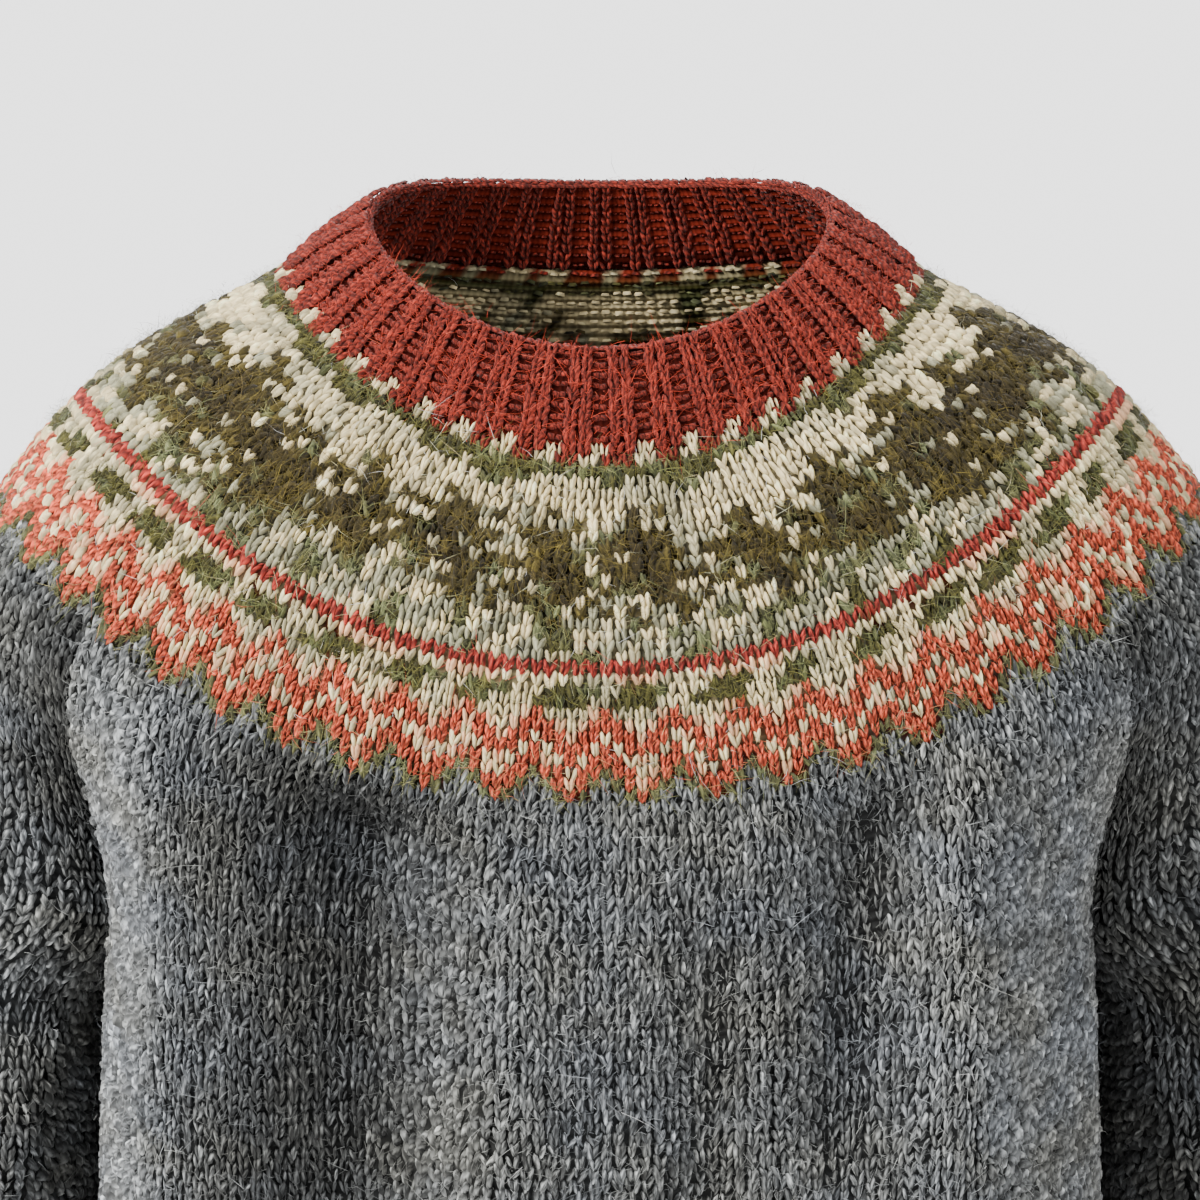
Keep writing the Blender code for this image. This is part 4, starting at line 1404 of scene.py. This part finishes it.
def shell(name, points, normals, dyes, each, closed):
    """A closed thin shell on a grid: outside, inside and rims. dyes is (rows, columns, 3), and
    each tells how many rows and places of knitting one cell of the grid covers. The outside is
    painted much darker and the inside darker, as painted shade."""
    rows, columns = points.shape[:2]
    outside = points - normals * OUTSIDE_DEPTH
    inside = points - normals * INSIDE_DEPTH
    vertices = np.concatenate([outside.reshape(-1, 3), inside.reshape(-1, 3)])
    index = np.arange(rows * columns).reshape(rows, columns)
    behind = index + rows * columns
    faces = [quads(index[:-1, :-1], index[1:, :-1], index[1:, 1:], index[:-1, 1:]),
             quads(behind[:-1, :-1], behind[:-1, 1:], behind[1:, 1:], behind[1:, :-1]),
             quads(index[0, :-1], index[0, 1:], behind[0, 1:], behind[0, :-1]),
             quads(index[-1, 1:], index[-1, :-1], behind[-1, :-1], behind[-1, 1:])]
    target = np.arange(len(vertices))
    if closed:
        target[index[:, -1]] = index[:, 0]
        target[behind[:, -1]] = behind[:, 0]
    else:
        faces.append(quads(index[1:, 0], index[:-1, 0], behind[:-1, 0], behind[1:, 0]))
        faces.append(quads(index[:-1, -1], index[1:, -1], behind[1:, -1], behind[:-1, -1]))
    faces = np.concatenate(faces)
    row_at, column_at = np.meshgrid(np.arange(rows) * each[0], np.arange(columns) * each[1],
                                    indexing="ij")
    yarn = np.stack([column_at, row_at], axis=-1).reshape(-1, 2)
    yarn = np.concatenate([yarn, yarn])
    kept, welded_faces = np.unique(target[faces], return_inverse=True)
    welded_faces = welded_faces.reshape(faces.shape)
    name = name + "_cloth"
    mesh = bpy.data.meshes.new(name)
    mesh.from_pydata(vertices[kept].tolist(), [], welded_faces.tolist())
    mesh.polygons.foreach_set("use_smooth", np.ones(len(faces), dtype=bool))
    tone = dyes.reshape(-1, 3)
    # Painted shade: much darker outside, between the stitches, and darker inside.
    tone = np.concatenate([tone * OUTSIDE_SHADE, tone * INSIDE_SHADE])
    tone = np.concatenate([tone, np.ones((len(tone), 1))], axis=1)[kept]
    colour = mesh.attributes.new("dye", "FLOAT_COLOR", "POINT")
    colour.data.foreach_set("color", tone.ravel())
    uv = mesh.uv_layers.new(name="yarn")
    uv.data.foreach_set("uv", yarn[faces.ravel()].ravel())
    mesh.materials.append(SHELL_WOOL)
    mesh.update()
    thing = bpy.data.objects.new(name, mesh)
    bpy.context.scene.collection.objects.link(thing)
    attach(thing, "root")
    return thing


def nearest_dye_and_shade(points, marks):
    """For each grid point, the dye of the nearest stitch, with any painted shade it carries."""
    where = np.concatenate([mark[0] for mark in marks])
    tone = np.concatenate([mark[2] for mark in marks])
    tree = KDTree(len(where))
    for number, spot in enumerate(where):
        tree.insert(spot, number)
    tree.balance()
    flat = points.reshape(-1, 3)
    found = np.array([tree.find(spot)[1] for spot in flat])
    return tone[found].reshape(points.shape)


def shell_of(name, skin, shares, places, marks, each, closed=False, mirror=False):
    points, normals = cloth_grid(skin, shares, places, mirror=mirror)
    dyes = nearest_dye_and_shade(points, marks)
    return shell(name, points, normals, dyes, each, closed), cut_of(points)


def cut_of(points):
    """Width, length and area of a piece laid flat: widest row, longest wale, whole surface."""
    widest = np.linalg.norm(np.diff(points, axis=1), axis=2).sum(axis=1).max()
    length = np.linalg.norm(np.diff(points, axis=0), axis=2).sum(axis=0).max()
    return (round(float(widest), 3), round(float(length), 3)), area_of(points)


round_yoke = np.arange(-HALF_YOKE, HALF_YOKE + 1, 2)
yoke_shell, yoke_cut = shell_of("yoke", yoke_skin, np.linspace(0.004, 0.996, 18), round_yoke,
                                yoke_marks, (2, 2), closed=True)
neck_shell, neck_cut = shell_of("neckband", neck_skin, np.linspace(0.01, 0.99, 5), round_yoke,
                                neck_marks, (2.5, 2), closed=True)
print("yoke cut", yoke_cut, "neckband cut", neck_cut)

# %% [markdown]
# ## Shells of the body and sleeves
# The front, the back and each sleeve are two shells that overlap by a hair at the underarm round:
# one above it, that fans out from the yoke, and one below it, that has the underarm stitches too.

# %% Shells below the yoke
EACH = (2, 3)
shells = {}
cuts = {}
join_rows = np.linspace(0.004, 1, 14)
body_rows = np.linspace(0, 0.998, 24)
panels = (("front", join_front_skin, FRONT_HALF, 0, front_marks),
          ("back", join_back_skin, BACK_HALF, BODY_STITCHES / 2, back_marks))
for name, join_skin, half, offset, marks in panels:
    edge = half + UNDERARM_HALF
    inner = np.linspace(-half, half, 2 * half // 3 + 1) + offset
    outer = np.linspace(-edge, edge, 2 * edge // 3 + 1) + offset
    top, top_cut = shell_of(name + "_chest", join_skin, join_rows, inner, marks, EACH)
    low, low_cut = shell_of(name, body_skin, body_rows, outer, marks, EACH)
    shells[name] = (top, low)
    cuts[name] = (top_cut, low_cut)
    print(name, cuts[name])

sleeve_rows = np.linspace(0, CUFF_SHARE - 0.002, 34)
cuff_rows = np.linspace(CUFF_SHARE + 0.002, 0.998, 5)
inner = np.linspace(-SLEEVE_HALF, SLEEVE_HALF, 17)
outer = np.linspace(-HALF_SLEEVE + 0.001, HALF_SLEEVE - 0.001, 23)
for side, mirror in (("right", False), ("left", True)):
    sleeve, cuff = "sleeve_" + side, "cuff_" + side
    marks = sleeve_marks[side]
    top, top_cut = shell_of(sleeve + "_cap", join_sleeve_skin, join_rows, inner, marks, EACH,
                            mirror=mirror)
    low, low_cut = shell_of(sleeve, sleeve_skin, sleeve_rows, outer, marks, EACH,
                            mirror=mirror)
    end, end_cut = shell_of(cuff, cuff_skin, cuff_rows, outer, cuff_marks[side], (3, 3),
                            mirror=mirror)
    shells[sleeve] = (top, low)
    cuts[sleeve] = (top_cut, low_cut)
    shells[cuff] = end
    cuts[cuff] = end_cut
hem_round = np.linspace(-BODY_STITCHES / 2, BODY_STITCHES / 2, 73)
hem_shell, hem_cut = shell_of("hem_rib", hem_skin, np.linspace(0.01, 0.99, 5), hem_round, hem_marks,
                              (3, 3), closed=True)
print("sleeve cut", cuts["sleeve_right"], "hem cut", hem_cut)

# %% [markdown]
# ## Loose fibres
# Wool is hairy, and mohair most of all. Short fibres stand off the stitches, lie over the gaps
# and soften every edge. Each is a thin ribbon bent once or twice, which from here is as good as
# a hair and far lighter. They are densest on the olive yarn, where they hide the stitches.
# A particle system would grow them too, but would not leave a mesh that other programs can read.

# %% Grow the fibres
FIBRE_WIDTH = 0.00010
FIBRE_LENGTH = 0.0038
THICKER = np.array([1.0, 1.2, 1.4, 1.2])  # for cream, twist, mohair and grey
LIGHTER = np.array([1.0, 1.4, 1.8, 1.4])
MOHAIR_LIMIT = np.array([0.36, 0.32, 0.19])
BACK_SHARE = 0.25  # fewer fibres where the cloth faces back


def fibres(name, marks, per_stitch, slot):
    """Ribbons of fibre on the marked stitches. per_stitch gives how many for each kind of yarn."""
    where = np.concatenate([mark[0] for mark in marks])
    facing = np.concatenate([mark[1] for mark in marks])
    tone = np.concatenate([mark[2] for mark in marks])
    kind = np.concatenate([mark[3] for mark in marks])
    behind = np.where(where[:, 1] > 0.02, BACK_SHARE, 1.0)
    wanted = rng.poisson(np.array(per_stitch, dtype=float)[kind] * behind)
    pick = np.repeat(np.arange(len(where)), wanted)
    count = len(pick)
    start, up, tint, sort = where[pick], facing[pick], tone[pick], kind[pick]
    start = start + rng.normal(0, 0.0018, (count, 3)) + up * 0.0007
    heading = rng.normal(0, 1, (count, 3))
    heading = unit(heading - (heading * up).sum(axis=1, keepdims=True) * up * 0.8)
    size = FIBRE_LENGTH * np.exp(rng.normal(0, 0.35, (count, 1)))
    bend = rng.normal(0, 1, (count, 3)) * 1.8
    bend = bend - (bend * up).sum(axis=1, keepdims=True) * up * 0.75
    lift = np.abs(rng.normal(0.06, 0.12, (count, 1)))
    points = []
    for share in (0.0, 0.5, 1.0):
        height = lift * size * (share * (1.5 - share)) + 0.0004
        points.append(start + heading * size * share + bend * size * share ** 2 * 0.5 + up * height)
    thick = FIBRE_WIDTH * THICKER[sort][:, None]
    side = unit(np.cross(heading, up)) * thick / 2
    vertices = np.stack([points[0] - side, points[0] + side, points[1] - side, points[1] + side,
                         points[2]], axis=1)
    faces = np.array([(0, 1, 3), (0, 3, 2), (2, 3, 4)])
    light = np.exp(rng.normal(0.25, 0.45, (count, 1))) * LIGHTER[sort][:, None]
    dyes = np.ones((count, 5, 4))
    brightest = np.where(sort[:, None] == MOHAIR, MOHAIR_LIMIT, 0.7)
    dyes[..., :3] = np.minimum(tint * light, brightest)[:, None, :]
    yarn = np.zeros((count, 5, 2)) + rng.random((count, 1, 1)) * YARN_LENGTHS
    yarn[..., 1] += np.array([0, 0, 0.5, 0.5, 1.0])
    tuft = Knitting(name)
    flat = np.array([(0, 0), (1, 0), (0, 0.5), (1, 0.5), (0.5, 1)])
    tuft.add(vertices, faces, dyes, yarn, np.zeros(count, dtype=int), flat)
    return tuft.mesh([WOOLS[0]], slot)


upper_front = front_marks[:46]
hairs = {
    "yoke": fibres("yoke_fibres", yoke_marks, (2.0, 4.0, 22.0, 3.0), "patterned_wool"),
    "neckband": fibres("neckband_fibres", neck_marks, (0, 12.0, 0, 0), "rust_wool"),
    "front": fibres("front_fibres", upper_front, (0, 0, 0, 3.6), "grey_wool"),
    "back": fibres("back_fibres", back_marks, (0, 0, 0, 0.25), "grey_wool"),
    "sleeve_right": fibres("sleeve_right_fibres", sleeve_marks["right"], (0, 0, 0, 0.9),
                           "grey_wool"),
    "sleeve_left": fibres("sleeve_left_fibres", sleeve_marks["left"], (0, 0, 0, 0.9),
                          "grey_wool"),
}

# %% [markdown]
# The size each shell was knitted to is read from its cut, and its area is held between a share
# of width times length and the whole of it. The front, the back and the sleeves are each two
# shells, above and below the underarm round.

# %% Sheets
LEAST_FILL = 0.31  # the area of a curved piece may be this share of width times length


def declare(cut):
    flat, area = cut
    area = min(max(area, LEAST_FILL * flat[0] * flat[1]), flat[0] * flat[1])


declare(neck_cut)
declare(yoke_cut)
hanging = (("front", front_stitches), ("back", back_stitches),
           ("sleeve_right", sleeve_stitches["right"]), ("sleeve_left", sleeve_stitches["left"]))
for name, stitches in hanging:
    top, low = shells[name]
    declare(cuts[name][0])
    declare(cuts[name][1])
declare(hem_cut)
for side in ("right", "left"):
    cuff = "cuff_" + side
    declare(cuts[cuff])

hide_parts("neckband")
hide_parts("yoke")
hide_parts("front")
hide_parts("back")
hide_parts("hem_rib")
for side in ("right", "left"):
    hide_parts("sleeve_" + side)
    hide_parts("cuff_" + side)

# %% [markdown]
# ## Studio
# The sweater is shown against plain pale grey, lit softly from the upper left with a weaker
# light from the right, so that the folds read and nothing glares. A long lens from a little
# above keeps its proportions true.

# %% Stage, light and camera
FLOOR_Z = -0.80
REACH = 4
WALL_TOP = 3.0


def plain_material(name, tone, rough=0.9):
    material = bpy.data.materials.new(name)
    material.use_nodes = True
    surface = material.node_tree.nodes["Principled BSDF"]
    surface.inputs["Base Color"].default_value = (*tone, 1)
    surface.inputs["Roughness"].default_value = rough
    surface.inputs["Specular IOR Level"].default_value = 0.1
    return material


def sheet_mesh(name, corners, material):
    mesh = bpy.data.meshes.new(name)
    mesh.from_pydata(corners, [], [(0, 1, 2, 3)])
    mesh.materials.append(material)
    thing = bpy.data.objects.new(name, mesh)
    bpy.context.scene.collection.objects.link(thing)
    return thing


pale = plain_material("pale_paper", (0.80, 0.80, 0.80))
glow = plain_material("lit_backdrop", (0.0, 0.0, 0.0))
light_of_backdrop = glow.node_tree.nodes["Principled BSDF"].inputs
light_of_backdrop["Emission Color"].default_value = (1.0, 1.0, 1.0, 1)
light_of_backdrop["Emission Strength"].default_value = 2.7
near_left, near_right = (-REACH, -REACH, FLOOR_Z), (REACH, -REACH, FLOOR_Z)
far_left, far_right = (-REACH, REACH, FLOOR_Z), (REACH, REACH, FLOOR_Z)
high_left, high_right = (-REACH, REACH, WALL_TOP), (REACH, REACH, WALL_TOP)
floor = sheet_mesh("floor", [near_left, near_right, far_right, far_left], pale)
backdrop = sheet_mesh("backdrop", [far_left, far_right, high_right, high_left], glow)


def area_light(name, place, size, power, tone):
    light = bpy.data.lights.new(name, "AREA")
    light.size = size
    light.energy = power
    light.color = tone
    lamp = bpy.data.objects.new(name, light)
    lamp.location = place
    way = Vector((0, 0, -0.2)) - Vector(place)
    lamp.rotation_euler = way.to_track_quat("-Z", "Y").to_euler()
    bpy.context.scene.collection.objects.link(lamp)
    return lamp


area_light("key", (-2.0, -1.6, 1.15), 0.6, 180, (1.0, 0.985, 0.96))
area_light("fill", (1.6, -2.0, 0.8), 1.2, 45, (0.98, 0.99, 1.0))
area_light("top", (0.0, -0.3, 2.2), 1.2, 36, (1.0, 1.0, 1.0))
world = bpy.data.worlds.new("studio")
world.use_nodes = True
world.node_tree.nodes["Background"].inputs["Color"].default_value = (0.745, 0.745, 0.745, 1)
world.node_tree.nodes["Background"].inputs["Strength"].default_value = 0.5
bpy.context.scene.world = world
camera_data = bpy.data.cameras.new("camera")
camera_data.lens = 165
camera = bpy.data.objects.new("camera", camera_data)
aim = Vector((0.0, -0.10, -0.133))
raised = math.radians(3.5)
distance = 2.2
camera.location = aim + Vector((0, -distance * math.cos(raised), distance * math.sin(raised)))
camera.rotation_euler = (aim - camera.location).to_track_quat("-Z", "Y").to_euler()
bpy.context.scene.collection.objects.link(camera)
bpy.context.scene.camera = camera
print("camera", np.round(camera.location, 3))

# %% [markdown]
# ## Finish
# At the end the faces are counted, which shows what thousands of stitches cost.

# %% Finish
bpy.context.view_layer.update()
total = sum(len(thing.data.loop_triangles) or len(thing.data.polygons)
            for thing in bpy.data.objects if thing.type == "MESH" and not thing.hide_render)
print("faces in all", total)
